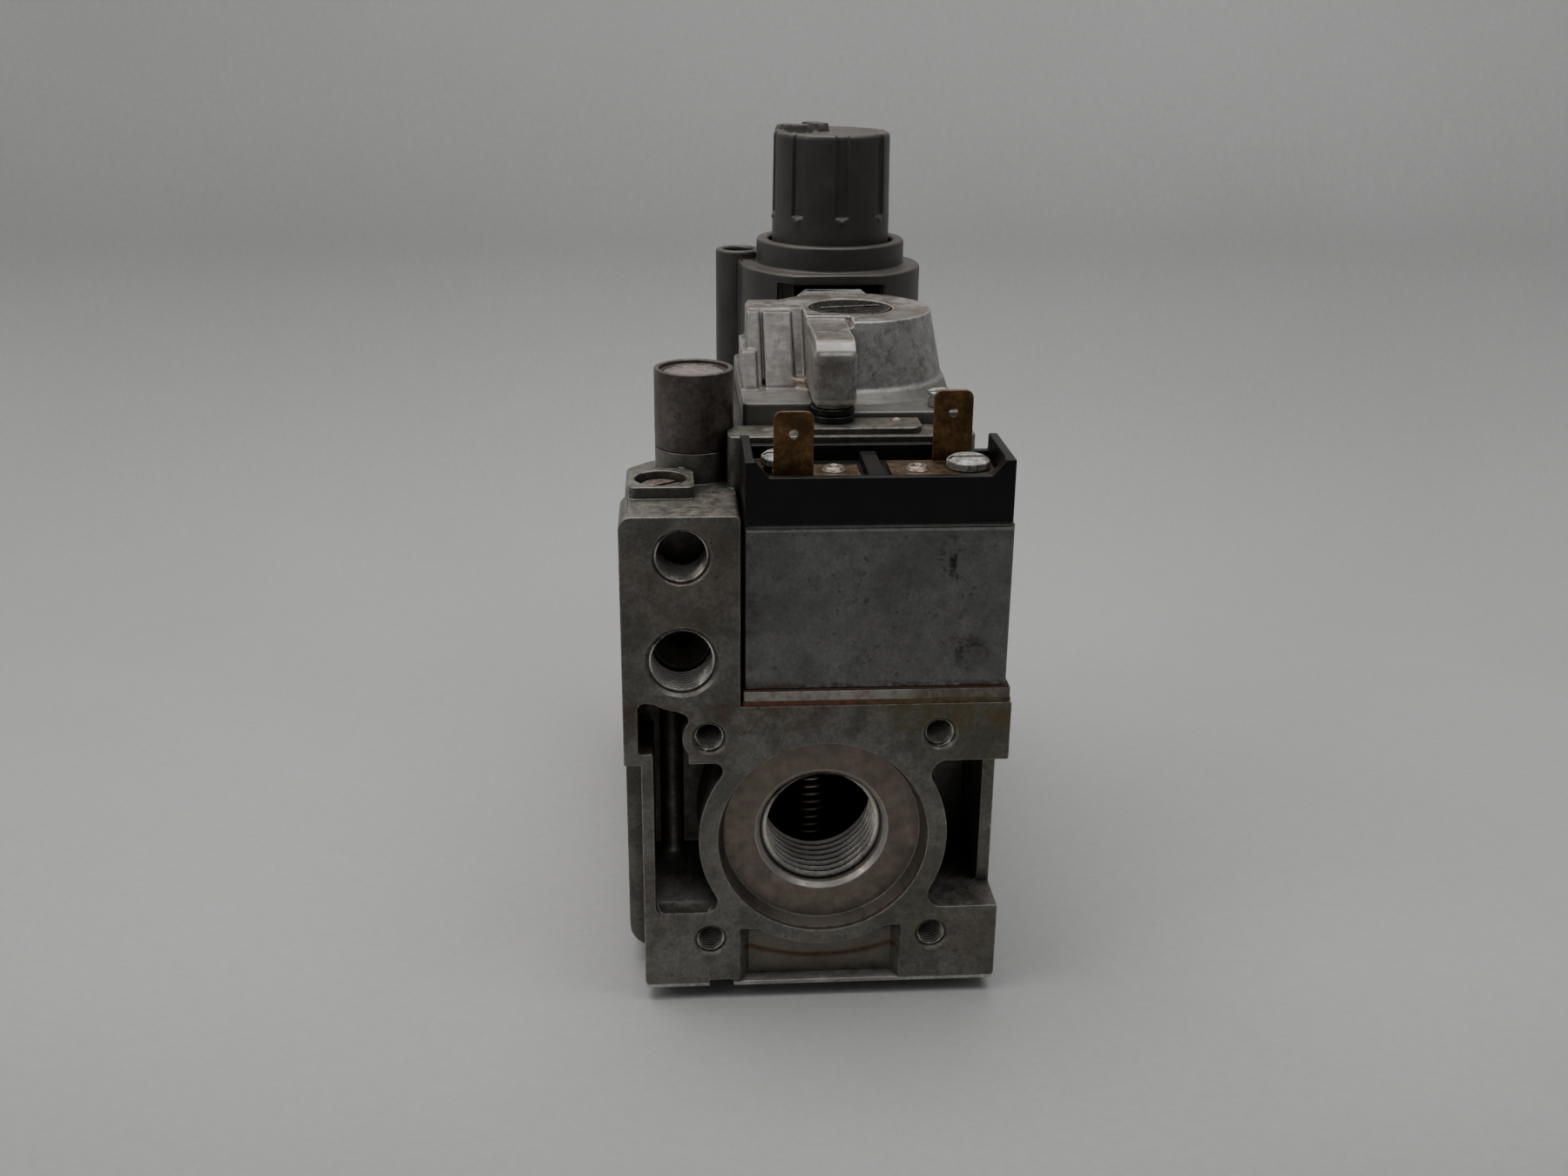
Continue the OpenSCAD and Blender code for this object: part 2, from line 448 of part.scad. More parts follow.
// ---- knob group ----
module cover_plan(r, y, z0, z1) intersection() {
  cylz(kx, ky, z0, z1, r);
  box([kx - 25, y, z0 - 1], [kx + 25, ky + 25, z1 + 1]);
}
module knob_cover() color([0.33, 0.33, 0.32]) difference() {
  union() {
    cover_plan(cover_r, 70, 58.05, 82.6);
    cylz(kx, ky, 82, 87.5, 14.6);
    cylz(wx, wy, 58.05, 84.5, 4.6);
  }
  cover_plan(cover_r - 1.8, 71.8, 57, 80.8);
  cylz(kx, ky, 70, 89, 12.3);
  face([[-3.4, 57, 0], [16.6, 57, 0], [16.6, 80.6, 0.4], [-3.4, 80.6, 0.4]], 69, 72.2);
  cylz(wx, wy, 57, 86, 1.9);
  cylz(wx, wy, 76, 86, 3.1);
}
module cover_screw() color([0.55, 0.54, 0.50]) difference() {
  union() {
    cylz(wx, wy, 76.05, 78.6, 2.9);
    cylz(wx, wy, 47, 77, 1.6);
  }
  box([wx - 3.5, wy - 0.45, 77.6], [wx + 3.5, wy + 0.45, 80]);
}
module latch_plate() color([0.75, 0.76, 0.75]) difference() {
  face([[-0.9, 58.05, 0], [14.6, 58.05, 0], [14.6, 77.8, 0], [12.2, 79.8, 0.3], [1.6, 79.8, 0.3], [-0.9, 77.8, 0]], 70.2, 71.4);
  cyly(6.9, 70, 69, 73, 1.6);
}
module control_knob() color([0.36, 0.36, 0.34]) difference() {
  union() {
    conez(kx, ky, 84, 107.7, knob_r, 11.3);
    conez(kx, ky, 107.7, 108.3, 11.3, 10.7);
    cylz(kx, ky, 78, 85, 4.6);
    for (a = [110, 160]) translate([kx, ky, 0]) rotate([0, 0, a]) box([4.5, -1.6, 107], [10.4, 1.6, 109]);
  }
  difference() {
    cylz(kx, ky, 83, 92, 9.8);
    cylz(kx, ky, 82, 93, 4.6);
  }
  translate([kx, ky, 0]) for (i = [0 : knob_flutes - 1]) rotate([0, 0, 5.6 + i * 360 / knob_flutes]) {
    box([10.75, -1.3, 92.4], [13, 1.3, 107]);
    translate([11.6, 0, 91]) sphere(r = 0.9, $fn = 24);
  }
  cylz(kx, ky, 77, 102, 3.03);
}
module knob_spindle() color([0.72, 0.66, 0.42]) difference() {
  union() {
    cylz(kx, ky, 22.8, 102, 3);
    conez(kx, ky, 22, 22.8, 2.4, 3);
  }
  translate([kx - 6, ky, 65.2]) rotate([0, 90, 0]) cylinder(h = 12, r = 0.9, $fn = 32);
  ring(kx, ky, 44, 44.8, 2.6, 4);
}
module spindle_pin() color([0.70, 0.70, 0.70]) translate([kx - 5, ky, 65.2]) rotate([0, 90, 0]) cylinder(h = 10, r = 0.9, $fn = 32);
module cam_sleeve() color([0.86, 0.85, 0.80]) difference() {
  union() {
    cylz(kx, ky, 50.3, 58.5, 7);
    cylz(kx, ky, 58.4, 60.6, 9.4);
    cylz(kx, ky, 60.5, 66.6, 5.6);
    translate([kx, ky, 0]) rotate([0, 0, 200]) box([7, -2, 58.4], [12.4, 2, 60.6]);
  }
  cylz(kx, ky, 49, 68, 3.06);
  box([kx - 7, ky - 1.25, 59.3], [kx + 7, ky + 1.25, 68]);
}
module knob_spring() color([0.75, 0.75, 0.75]) wire_spring(kx, ky, 60.7, 91.9, 7.2, 1, 8, 16, 6);
module spindle_seal() color([0.08, 0.08, 0.08]) translate([kx, ky, 41]) rotate_extrude($fn = 48) translate([3.86, 0]) circle(r = 0.72, $fn = 24);

// ---- power unit ----
module power_housing() color([0.45, 0.45, 0.45]) difference() {
  cylz(tx, ty, 61.35, 74.6, 6.65);
  cylz(tx, ty, 60, 70, 5.2);
  cylz(tx, ty, 69.9, 73, 4.6);
  cylz(tx, ty, 72.92, 74, 5.2);
  cylz(tx, ty, 73.8, 75, 5.75);
}
module power_cap() color([0.62, 0.55, 0.53]) cylz(tx, ty, 72.95, 73.75, 5.15);
module power_magnet() color([0.30, 0.30, 0.32]) difference() {
  union() {
    cylz(tx, ty, 58, 72, 4.4);
    cylz(tx, ty, 62, 63.5, 5.1);
  }
  box([tx - 1.4, ty - 5, 57], [tx + 1.4, ty + 5, 61]);
}
module power_armature() color([0.65, 0.65, 0.66]) {
  cylz(tx, ty, 52.6, 54.4, 4.2);
  cylz(tx, ty, 38, 53, 1.2);
}

// ---- valves ----
module safety_seal() color([0.10, 0.10, 0.10]) difference() {
  cylz(kx, ky, 11.2, 14, 8);
  cylz(kx, ky, 10, 15, 1.55);
}
module safety_stem() color([0.70, 0.70, 0.68]) {
  cylz(kx, ky, 9, 21.7, 1.5);
  cylz(kx, ky, 10.2, 11.2, 7);
}
module safety_spring() color([0.75, 0.75, 0.75]) wire_spring(kx, ky, -11.9, 10.1, 5, 0.9, 7, 14, 6);
module main_valve_seal() color([0.10, 0.10, 0.10]) difference() {
  cylz(mx, my, -14.98, -12.8, 9.4);
  cylz(mx, my, -16, -12, 1.55);
}
module main_valve_stem() color([0.70, 0.70, 0.68]) {
  cylz(mx, my, -24.6, -10.5, 1.5);
  cylz(mx, my, -12.8, -11.9, 8);
  cylz(mx, my, -24.9, -23.9, 9);
}
module main_valve_spring() color([0.62, 0.60, 0.52]) wire_spring(mx, my, -11.8, 11.95, 3.9, 0.8, 13, 12, 6);
module main_diaphragm() color([0.12, 0.12, 0.12]) difference() {
  cylz(mx, my, -flange_bot, -26.3, 15.7);
  cylz(mx, my, -28, -26.8, 13.4);
  ring(mx, my, -26.65, -26, 10.2, 12);
}
module pilot_adjuster() color([0.66, 0.62, 0.50]) difference() {
  union() {
    cylz(ax, ay, 54.4, 57.2, 3.9);
    conez(ax, ay, 57.2, 57.8, 3.9, 3.3);
    cylz(ax, ay, 42, 55, 1.6);
    conez(ax, ay, 40.5, 42, 0.5, 1.6);
  }
  translate([ax, ay, 0]) rotate([0, 0, 35]) box([-5, -0.55, 56.4], [5, 0.55, 59]);
}

valve_body();
bottom_cover();
bottom_gasket();
bottom_cover_screws();
inlet_filter();
coil_bracket();
coil_winding();
core_tube();
coil_plate();
coil_gaskets();
terminal_block();
terminal_left();
terminal_right();
terminal_rivets();
coil_screws();
solenoid_plunger();
plunger_seal();
plunger_spring();
regulator_housing();
regulator_screws();
regulator_seal_ring();
regulator_cap();
regulator_adjuster();
regulator_spring();
regulator_diaphragm();
regulator_plate();
knob_cover();
cover_screw();
latch_plate();
control_knob();
knob_spindle();
spindle_pin();
cam_sleeve();
knob_spring();
spindle_seal();
power_housing();
power_cap();
power_magnet();
power_armature();
safety_seal();
safety_stem();
safety_spring();
main_valve_seal();
main_valve_stem();
main_valve_spring();
main_diaphragm();
pilot_adjuster();
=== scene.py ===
import bpy, bmesh, json, math, random
from mathutils import Vector, Matrix
from mathutils.bvhtree import BVHTree


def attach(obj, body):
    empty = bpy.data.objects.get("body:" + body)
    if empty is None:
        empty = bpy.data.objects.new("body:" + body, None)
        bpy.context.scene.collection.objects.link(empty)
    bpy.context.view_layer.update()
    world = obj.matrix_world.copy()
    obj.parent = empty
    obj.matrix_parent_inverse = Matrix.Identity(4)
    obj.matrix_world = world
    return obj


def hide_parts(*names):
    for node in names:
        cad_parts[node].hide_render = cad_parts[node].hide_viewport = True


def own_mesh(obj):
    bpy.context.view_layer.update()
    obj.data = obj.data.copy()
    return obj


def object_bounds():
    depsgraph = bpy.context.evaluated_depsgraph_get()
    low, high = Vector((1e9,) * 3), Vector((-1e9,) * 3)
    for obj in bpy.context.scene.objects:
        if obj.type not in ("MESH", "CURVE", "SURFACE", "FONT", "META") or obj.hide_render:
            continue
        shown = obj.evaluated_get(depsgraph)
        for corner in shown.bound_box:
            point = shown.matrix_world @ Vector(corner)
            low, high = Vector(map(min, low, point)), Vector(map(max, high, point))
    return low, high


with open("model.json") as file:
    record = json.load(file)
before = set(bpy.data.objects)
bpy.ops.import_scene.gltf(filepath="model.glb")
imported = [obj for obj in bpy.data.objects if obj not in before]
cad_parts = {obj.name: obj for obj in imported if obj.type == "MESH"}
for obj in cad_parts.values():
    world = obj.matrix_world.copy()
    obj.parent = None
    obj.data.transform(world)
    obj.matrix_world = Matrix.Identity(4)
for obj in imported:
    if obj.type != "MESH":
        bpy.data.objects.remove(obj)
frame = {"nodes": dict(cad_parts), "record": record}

CAD_LO, CAD_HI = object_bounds()
NODES = frame["nodes"]
random.seed(7)
MM = 0.001


# ------------------------------------------------------------------ materials
class Graph:
    """Small helper to lay down shader nodes."""

    def __init__(self, name):
        self.mat = bpy.data.materials.new(name)
        self.mat.use_nodes = True
        self.t = self.mat.node_tree
        self.b = self.t.nodes["Principled BSDF"]
        tc = self.t.nodes.new("ShaderNodeTexCoord")
        self.co = tc.outputs["Object"]

    def put(self, dst, src):
        if isinstance(src, (int, float)):
            dst.default_value = src
        elif isinstance(src, (tuple, list)):
            dst.default_value = tuple(src) if len(src) == 4 or dst.type == "VECTOR" else (*src, 1.0)
        else:
            self.t.links.new(dst, src)

    def noise(self, scale, detail=3.0, rough=0.55, stretch=None, dist=0.0, seed=0.0):
        n = self.t.nodes.new("ShaderNodeTexNoise")
        n.inputs["Scale"].default_value = scale
        n.inputs["Detail"].default_value = detail
        n.inputs["Roughness"].default_value = rough
        n.inputs["Distortion"].default_value = dist
        m = self.t.nodes.new("ShaderNodeMapping")
        m.inputs["Scale"].default_value = stretch or (1, 1, 1)
        m.inputs["Location"].default_value = (seed, seed * 1.7, seed * 0.6)
        self.t.links.new(m.inputs["Vector"], self.co)
        self.t.links.new(n.inputs["Vector"], m.outputs["Vector"])
        return n.outputs["Fac"]

    def voronoi(self, scale, feature="F1", rnd=1.0):
        n = self.t.nodes.new("ShaderNodeTexVoronoi")
        n.feature = feature
        n.inputs["Scale"].default_value = scale
        n.inputs["Randomness"].default_value = rnd
        self.t.links.new(n.inputs["Vector"], self.co)
        return n.outputs["Distance"]

    def ramp(self, src, a, b, lo=0.0, hi=1.0):
        n = self.t.nodes.new("ShaderNodeMapRange")
        n.interpolation_type = "SMOOTHSTEP"
        self.put(n.inputs["Value"], src)
        n.inputs["From Min"].default_value = a
        n.inputs["From Max"].default_value = b
        n.inputs["To Min"].default_value = lo
        n.inputs["To Max"].default_value = hi
        return n.outputs["Result"]

    def math(self, op, a, b=0.0, clamp=False):
        n = self.t.nodes.new("ShaderNodeMath")
        n.operation = op
        n.use_clamp = clamp
        self.put(n.inputs[0], a)
        self.put(n.inputs[1], b)
        return n.outputs[0]

    def mix(self, fac, a, b):
        n = self.t.nodes.new("ShaderNodeMix")
        n.data_type = "RGBA"
        self.put(n.inputs["Factor"], fac)
        self.put(n.inputs[6], a)
        self.put(n.inputs[7], b)
        return n.outputs[2]

    def scale(self, col, f):
        n = self.t.nodes.new("ShaderNodeVectorMath")
        n.operation = "SCALE"
        self.put(n.inputs[0], col)
        self.put(n.inputs["Scale"], f)
        return n.outputs["Vector"]

    def axis(self, i):
        n = self.t.nodes.new("ShaderNodeSeparateXYZ")
        self.t.links.new(n.inputs[0], self.co)
        return n.outputs[i]

    def normal_axis(self, i):
        g = self.t.nodes.new("ShaderNodeNewGeometry")
        n = self.t.nodes.new("ShaderNodeSeparateXYZ")
        self.t.links.new(n.inputs[0], g.outputs["Normal"])
        return n.outputs[i]

    def edge(self, radius, gain=6.0, samples=4):
        """1 on convex or concave edges, 0 on flats."""
        bv = self.t.nodes.new("ShaderNodeBevel")
        bv.samples = samples
        bv.inputs["Radius"].default_value = radius
        g = self.t.nodes.new("ShaderNodeNewGeometry")
        d = self.t.nodes.new("ShaderNodeVectorMath")
        d.operation = "DOT_PRODUCT"
        self.t.links.new(d.inputs[0], bv.outputs["Normal"])
        self.t.links.new(d.inputs[1], g.outputs["Normal"])
        one = self.math("SUBTRACT", 1.0, d.outputs["Value"])
        return self.math("MULTIPLY", one, gain, clamp=True)

    def pointy(self):
        """Convexity of a dense mesh: over 0.5 on ridges, under 0.5 in creases."""
        return self.t.nodes.new("ShaderNodeNewGeometry").outputs["Pointiness"]

    def ao(self, dist, gain=1.0, samples=4):
        """1 in crevices, 0 in the open."""
        n = self.t.nodes.new("ShaderNodeAmbientOcclusion")
        n.samples = samples
        n.inputs["Distance"].default_value = dist
        return self.math("MULTIPLY", self.math("SUBTRACT", 1.0, n.outputs["AO"]), gain, clamp=True)

    def near(self, point, radius):
        """1 at a point, falling to 0 at a radius (metres)."""
        d = self.t.nodes.new("ShaderNodeVectorMath")
        d.operation = "DISTANCE"
        self.t.links.new(d.inputs[0], self.co)
        d.inputs[1].default_value = point
        return self.ramp(d.outputs["Value"], radius, 0.0)

    def band(self, i, a, b, soft):
        """1 where coordinate i lies between a and b (metres)."""
        c = self.axis(i)
        return self.math("MULTIPLY", self.ramp(c, a - soft, a), self.ramp(c, b + soft, b))

    def bump(self, parts, soften=0.0):
        """parts: [(height socket, distance)]; soften rounds the edges for the light."""
        prev = None
        if soften > 0:
            n = self.t.nodes.new("ShaderNodeBevel")
            n.samples = 6
            n.inputs["Radius"].default_value = soften
            prev = n.outputs["Normal"]
        for h, dist in parts:
            n = self.t.nodes.new("ShaderNodeBump")
            n.inputs["Distance"].default_value = dist
            n.inputs["Strength"].default_value = 1.0
            self.put(n.inputs["Height"], h)
            if prev is not None:
                self.t.links.new(n.inputs["Normal"], prev)
            prev = n.outputs["Normal"]
        self.t.links.new(self.b.inputs["Normal"], prev)


def metal(name, base, hi=None, metallic=0.85, rough=0.45, grain=2600, grain_h=1.2e-5, blotch=90, blotch_amt=0.5,
          stain=((0.09, 0.045, 0.02), 0.35), edge=((0.75, 0.73, 0.70), 0.5), stretch=None, ao_shade=0.5, ao_shade_col=(0.02, 0.016, 0.012),
          pits=0.0, extra=None, edge_r=0.0003, mottle=0.5, specks=0.5, soften=0.0, scratch=0.0):
    g = Graph(name)
    hi = hi or tuple(min(1, c * 1.35) for c in base)
    n0 = g.noise(blotch, 5, 0.62, stretch)
    n1 = g.noise(blotch * 6.3, 5, 0.62, stretch, seed=3.1)
    n2 = g.noise(grain, 2, 0.6, stretch, seed=1.3)
    nf = g.noise(1500, 6, 0.75, stretch, seed=4.4)
    mixf = g.math("ADD", g.math("MULTIPLY", n0, 0.6), g.math("MULTIPLY", n1, 0.4))
    col = g.mix(g.ramp(mixf, 0.5 - 0.2 * blotch_amt - 0.03, 0.5 + 0.2 * blotch_amt + 0.03), base, hi)
    sc, amt = stain
    st = g.math("MULTIPLY", g.ramp(g.noise(blotch * 0.7, 6, 0.65, seed=7.7), 0.48, 0.66), amt)
    col = g.mix(st, col, sc)
    # cloudy patina on a small scale
    if mottle > 0:
        col = g.scale(col, g.ramp(nf, 0.32, 0.68, 1 - 0.62 * mottle, 1 + 0.62 * mottle))
        col = g.scale(col, g.ramp(n1, 0.30, 0.62, 1 - 0.4 * mottle, 1.0 + 0.12 * mottle))
    if specks > 0:
        s1 = g.ramp(g.noise(blotch * 11, 4, 0.6, seed=11), 0.63, 0.70)
        s2 = g.math("MULTIPLY", g.ramp(g.noise(420, 5, 0.7, seed=12), 0.62, 0.68), g.ramp(n0, 0.42, 0.6))
        col = g.mix(g.math("MULTIPLY", s1, specks, clamp=True), col, tuple(c * 0.28 for c in base))
        col = g.mix(g.math("MULTIPLY", s2, specks, clamp=True), col, (0.035, 0.018, 0.010))
    met = metallic
    ec, ea = edge
    if ea > 0:
        near = g.math("SUBTRACT", 1.0, g.ao(0.0007, 2.6), clamp=True)
        em = g.math("MULTIPLY", g.math("MULTIPLY", g.edge(edge_r), near), g.ramp(n1, 0.34, 0.56, 0.15, 1.0))
        em = g.math("MULTIPLY", em, ea, clamp=True)
    # painted shade: ambient occlusion darkens the crevices toward a dark colour, varied by noise
    if ao_shade > 0:
        ao = g.math("MULTIPLY", g.ao(0.0026, 1.3), g.ramp(n1, 0.3, 0.7, 0.7 * ao_shade, 1.3 * ao_shade), clamp=True)
        col = g.mix(ao, col, ao_shade_col)
    ex = []
    if extra:
        col, ex = extra(g, col)
    if ea > 0:
        col = g.mix(em, col, ec)
    g.put(g.b.inputs["Base Color"], col)
    g.b.inputs["Metallic"].default_value = met
    r = g.math("ADD", g.ramp(n1, 0.3, 0.7, rough - 0.10, rough + 0.12), g.math("MULTIPLY", st, 0.25), clamp=True)
    g.put(g.b.inputs["Roughness"], r)
    hs = [(n2, grain_h), (n1, grain_h * 3.0), (nf, grain_h * 1.5)] + ex
    if scratch > 0:
        hs.append((g.ramp(g.noise(260, 3, 0.55, (1, 1, 14), seed=17), 0.62, 0.66), scratch))
    if pits > 0:
        hs.append((g.ramp(g.voronoi(900), 0.0, 0.25), pits))
    g.bump(hs, soften)
    return g.mat


def plastic(name, base, rough=0.5, grain=3000, grain_h=6e-6, dust=0.15, dust_col=(0.35, 0.33, 0.30), wear=((0.3, 0.3, 0.3), 0.25),
            up_dust=0.35, spec=0.5, scratch=0.0, extra=None):
    g = Graph(name)
    n0 = g.noise(120, 5, 0.6)
    n1 = g.noise(grain, 2, 0.5, seed=2.0)
    n2 = g.noise(650, 4, 0.65, seed=5.0)
    col = g.mix(g.ramp(n0, 0.35, 0.65), tuple(c * 0.86 for c in base), tuple(c * 1.14 for c in base))
    d = g.math("MULTIPLY", g.ramp(n2, 0.45, 0.75), dust)
    col = g.mix(d, col, dust_col)
    up = g.math("MULTIPLY", g.ramp(g.normal_axis(2), 0.35, 0.95), g.ramp(n0, 0.3, 0.7, 0.5 * up_dust, up_dust))
    col = g.mix(up, col, dust_col)
    if extra:
        col = extra(g, col)
    wc, wa = wear
    if wa > 0:
        e = g.math("MULTIPLY", g.edge(0.0004), g.ramp(n2, 0.35, 0.6, 0.2, 1.0))
        col = g.mix(g.math("MULTIPLY", e, wa, clamp=True), col, wc)
    g.put(g.b.inputs["Base Color"], col)
    g.put(g.b.inputs["Roughness"], g.ramp(n0, 0.3, 0.7, rough - 0.06, rough + 0.1))
    g.b.inputs["Specular IOR Level"].default_value = spec
    hs = [(n1, grain_h), (n2, grain_h * 2)]
    if scratch:
        hs.append((g.noise(500, 3, 0.6, (8, 8, 0.5), seed=9), scratch))
    g.bump(hs)
    return g.mat


def dist_to(g, p):
    d = g.t.nodes.new("ShaderNodeVectorMath")
    d.operation = "DISTANCE"
    g.t.links.new(d.inputs[0], g.co)
    d.inputs[1].default_value = p
    return d.outputs["Value"]


def mul(g, *a):
    v = a[0]
    for b in a[1:]:
        v = g.math("MULTIPLY", v, b)
    return v


def flange_stains(g, col):
    """Patina, yellow-green and rust marks round the coil seat and the port, milling grain on the face; painted shade in
    the chambers and the left pocket, a painted highlight at the pocket's column.
    """
    n = g.noise(260, 6, 0.7, seed=21)
    m = g.noise(60, 5, 0.65, seed=23)
    q = g.noise(140, 6, 0.7, seed=25)
    face = g.ramp(g.normal_axis(1), -0.9, -0.98)
    up = g.ramp(g.normal_axis(2), 0.6, 0.95)
    # dark grey-green patina over the outlet face
    col = g.mix(mul(g, face, g.ramp(q, 0.44, 0.60), 0.5), col, (0.070, 0.069, 0.058))
    col = g.mix(mul(g, face, g.ramp(q, 0.46, 0.36), 0.35), col, (0.155, 0.145, 0.12))
    z_led = mul(g, g.band(2, 0.0205, 0.0245, 0.0015), g.ramp(n, 0.42, 0.58), g.ramp(g.axis(1), 0.026, 0.012))
    col = g.mix(mul(g, z_led, g.ramp(g.axis(0), 0.002, 0.020), 0.75), col, (0.17, 0.115, 0.035))
    col = g.mix(mul(g, z_led, g.ramp(g.axis(0), 0.006, -0.008), 0.5), col, (0.10, 0.045, 0.03))
    # olive tint on the right, rust at its lower boss
    col = g.mix(mul(g, g.ramp(m, 0.4, 0.58), g.band(0, 0.012, 0.032, 0.006), face, 0.4), col, (0.085, 0.080, 0.042))
    col = g.mix(mul(g, g.near((0.0212, 0.0, -0.0085), 0.0032), g.ramp(n, 0.40, 0.52), 0.9), col, (0.13, 0.052, 0.015))
    col = g.mix(mul(g, g.near((0.0205, 0.0, 0.0085), 0.003), g.ramp(n, 0.44, 0.56), 0.8), col, (0.10, 0.05, 0.02))
    # brown-grey patina with a faint arc in the lower recess
    low = mul(g, g.band(2, -0.0272, -0.0195, 0.0008), g.band(0, -0.0138, 0.0135, 0.001), g.band(1, 0.0015, 0.006, 0.0006))
    col = g.mix(mul(g, low, g.ramp(n, 0.34, 0.6, 0.2, 0.85)), col, (0.205, 0.185, 0.150))
    arc = dist_to(g, (0.0, 0.0026, 0.012))
    col = g.mix(mul(g, low, g.ramp(arc, 0.0352, 0.0358), g.ramp(arc, 0.0368, 0.036), 0.8), col, (0.10, 0.052, 0.02))
    # warm, cleaner patch on the pilot block
    col = g.mix(mul(g, g.near((-0.0245, 0.0, 0.046), 0.015), g.ramp(n, 0.36, 0.62, 0.0, 0.5)), col, (0.15, 0.095, 0.06))
    # machined ring recess and its bore
    d = dist_to(g, (0, 0.0033, 0))
    ringm = mul(g, g.ramp(d, 0.0182, 0.0174), face, g.ramp(g.axis(1), 0.002, 0.003))
    col = g.mix(mul(g, ringm, 0.85), col, g.scale((0.235, 0.188, 0.156), g.ramp(n, 0.3, 0.7, 0.74, 1.22)))
    edge_d = mul(g, g.ramp(d, 0.0162, 0.0178), ringm, g.ramp(m, 0.35, 0.6, 0.3, 0.9))
    col = g.mix(edge_d, col, (0.075, 0.052, 0.036))
    wall = mul(g, g.ramp(d, 0.0187, 0.0182), g.band(1, 0.0002, 0.003, 0.0002), g.ramp(g.normal_axis(1), -0.85, -0.5))
    col = g.mix(mul(g, wall, 0.8), col, (0.150, 0.125, 0.104))
    bore = g.ramp(d, 0.0122, 0.0116)
    bright = mul(g, bore, g.band(1, 0.0031, 0.0175, 0.0002), g.ramp(g.normal_axis(1), -0.98, -0.9))
    col = g.mix(mul(g, bright, 0.8), col, (0.62, 0.575, 0.52))
    # painted shade: near black inside the chambers
    chamber_shade = mul(g, g.band(1, 0.0190, 0.0966, 0.001), g.band(0, -0.0135, 0.0135, 0.0003), g.band(2, -0.0185, 0.0135, 0.0003))
    col = g.mix(mul(g, chamber_shade, 0.92), col, (0.02, 0.018, 0.015))
    # blue-grey floor of the left pocket; painted shade in warm dark brown over the pocket and its column, and a painted
    # highlight at the column's foot
    pk = mul(g, g.band(0, -0.0283, -0.0165, 0.0002), g.band(2, -0.0137, -0.0065, 0.001), g.band(1, 0.0006, 0.016, 0.0004), up)
    col = g.mix(mul(g, pk, g.ramp(q, 0.4, 0.55), 0.7), col, (0.12, 0.125, 0.125))
    # painted highlight: a light spot at the foot of the pocket's column
    col = g.mix(mul(g, g.near((-0.0253, 0.0115, -0.0085), 0.0022), 0.8), col, (0.50, 0.47, 0.43))
    # painted shade: warm dark brown inside the left pocket, varied by noise
    pocket_shade = mul(g, g.band(0, -0.0283, -0.0165, 0.0002), g.band(2, -0.006, 0.0235, 0.001), g.band(1, 0.0006, 0.0145, 0.0004))
    col = g.mix(mul(g, pocket_shade, g.ramp(n, 0.3, 0.7, 0.3, 0.9)), col, (0.062, 0.050, 0.040))
    brush = g.noise(900, 2, 0.5, (1, 1, 9), seed=31)
    arcs = g.t.nodes.new("ShaderNodeMath")
    arcs.operation = "SINE"
    g.put(arcs.inputs[0], g.math("MULTIPLY", dist_to(g, (0.0, 0.0, 0.0)), 16000.0))
    return col, [(g.math("MULTIPLY", brush, face), 6e-6), (mul(g, arcs.outputs[0], face), 1.2e-6)]


def coil_marks(g, col):
    """Smudges and a rusty lower edge; the printing of the real coil is left out."""
    n = g.noise(330, 6, 0.7, seed=41)
    m = g.noise(75, 6, 0.68, seed=42)
    face = g.ramp(g.normal_axis(1), -0.9, -0.98)
    col = g.mix(mul(g, face, g.ramp(m, 0.44, 0.60), 0.45), col, (0.110, 0.110, 0.104))
    col = g.mix(mul(g, face, g.ramp(m, 0.47, 0.36), 0.4), col, (0.165, 0.166, 0.16))
    for p, r, a in (((0.0205, 0.0, 0.049), 0.006, 0.9), ((0.0225, 0.0, 0.044), 0.005, 0.8), ((0.0195, 0.0, 0.0395), 0.004, 0.7),
                    ((0.023, 0.0, 0.0335), 0.006, 0.7), ((0.006, 0.0, 0.0315), 0.004, 0.5)):
        col = g.mix(mul(g, g.ramp(n, 0.50, 0.60), g.near(p, r), a), col, (0.018, 0.018, 0.016))
    rust = mul(g, g.ramp(g.noise(800, 5, 0.65, seed=43), 0.42, 0.56), g.ramp(g.axis(2), 0.0290, 0.0274))
    col = g.mix(mul(g, rust, 0.8), col, (0.075, 0.04, 0.022))
    left = mul(g, g.ramp(g.axis(0), -0.0095, -0.0132), g.ramp(n, 0.4, 0.62))
    col = g.mix(mul(g, left, 0.5), col, (0.035, 0.032, 0.028))
    # thin bright line along the top edge, partly a worn burr and partly a painted highlight, and the fold line under it
    top = mul(g, face, g.band(2, 0.0541, 0.0544, 0.0001), g.ramp(n, 0.35, 0.55, 0.25, 1.0))
    col = g.mix(mul(g, top, 0.75), col, (0.42, 0.42, 0.40))
    lines = g.noise(420, 2, 0.5, (0.4, 1, 14), seed=45)
    return col, [(lines, 5e-6), (g.band(2, 0.0541, 0.0545, 0.0002), 1.2e-4)]


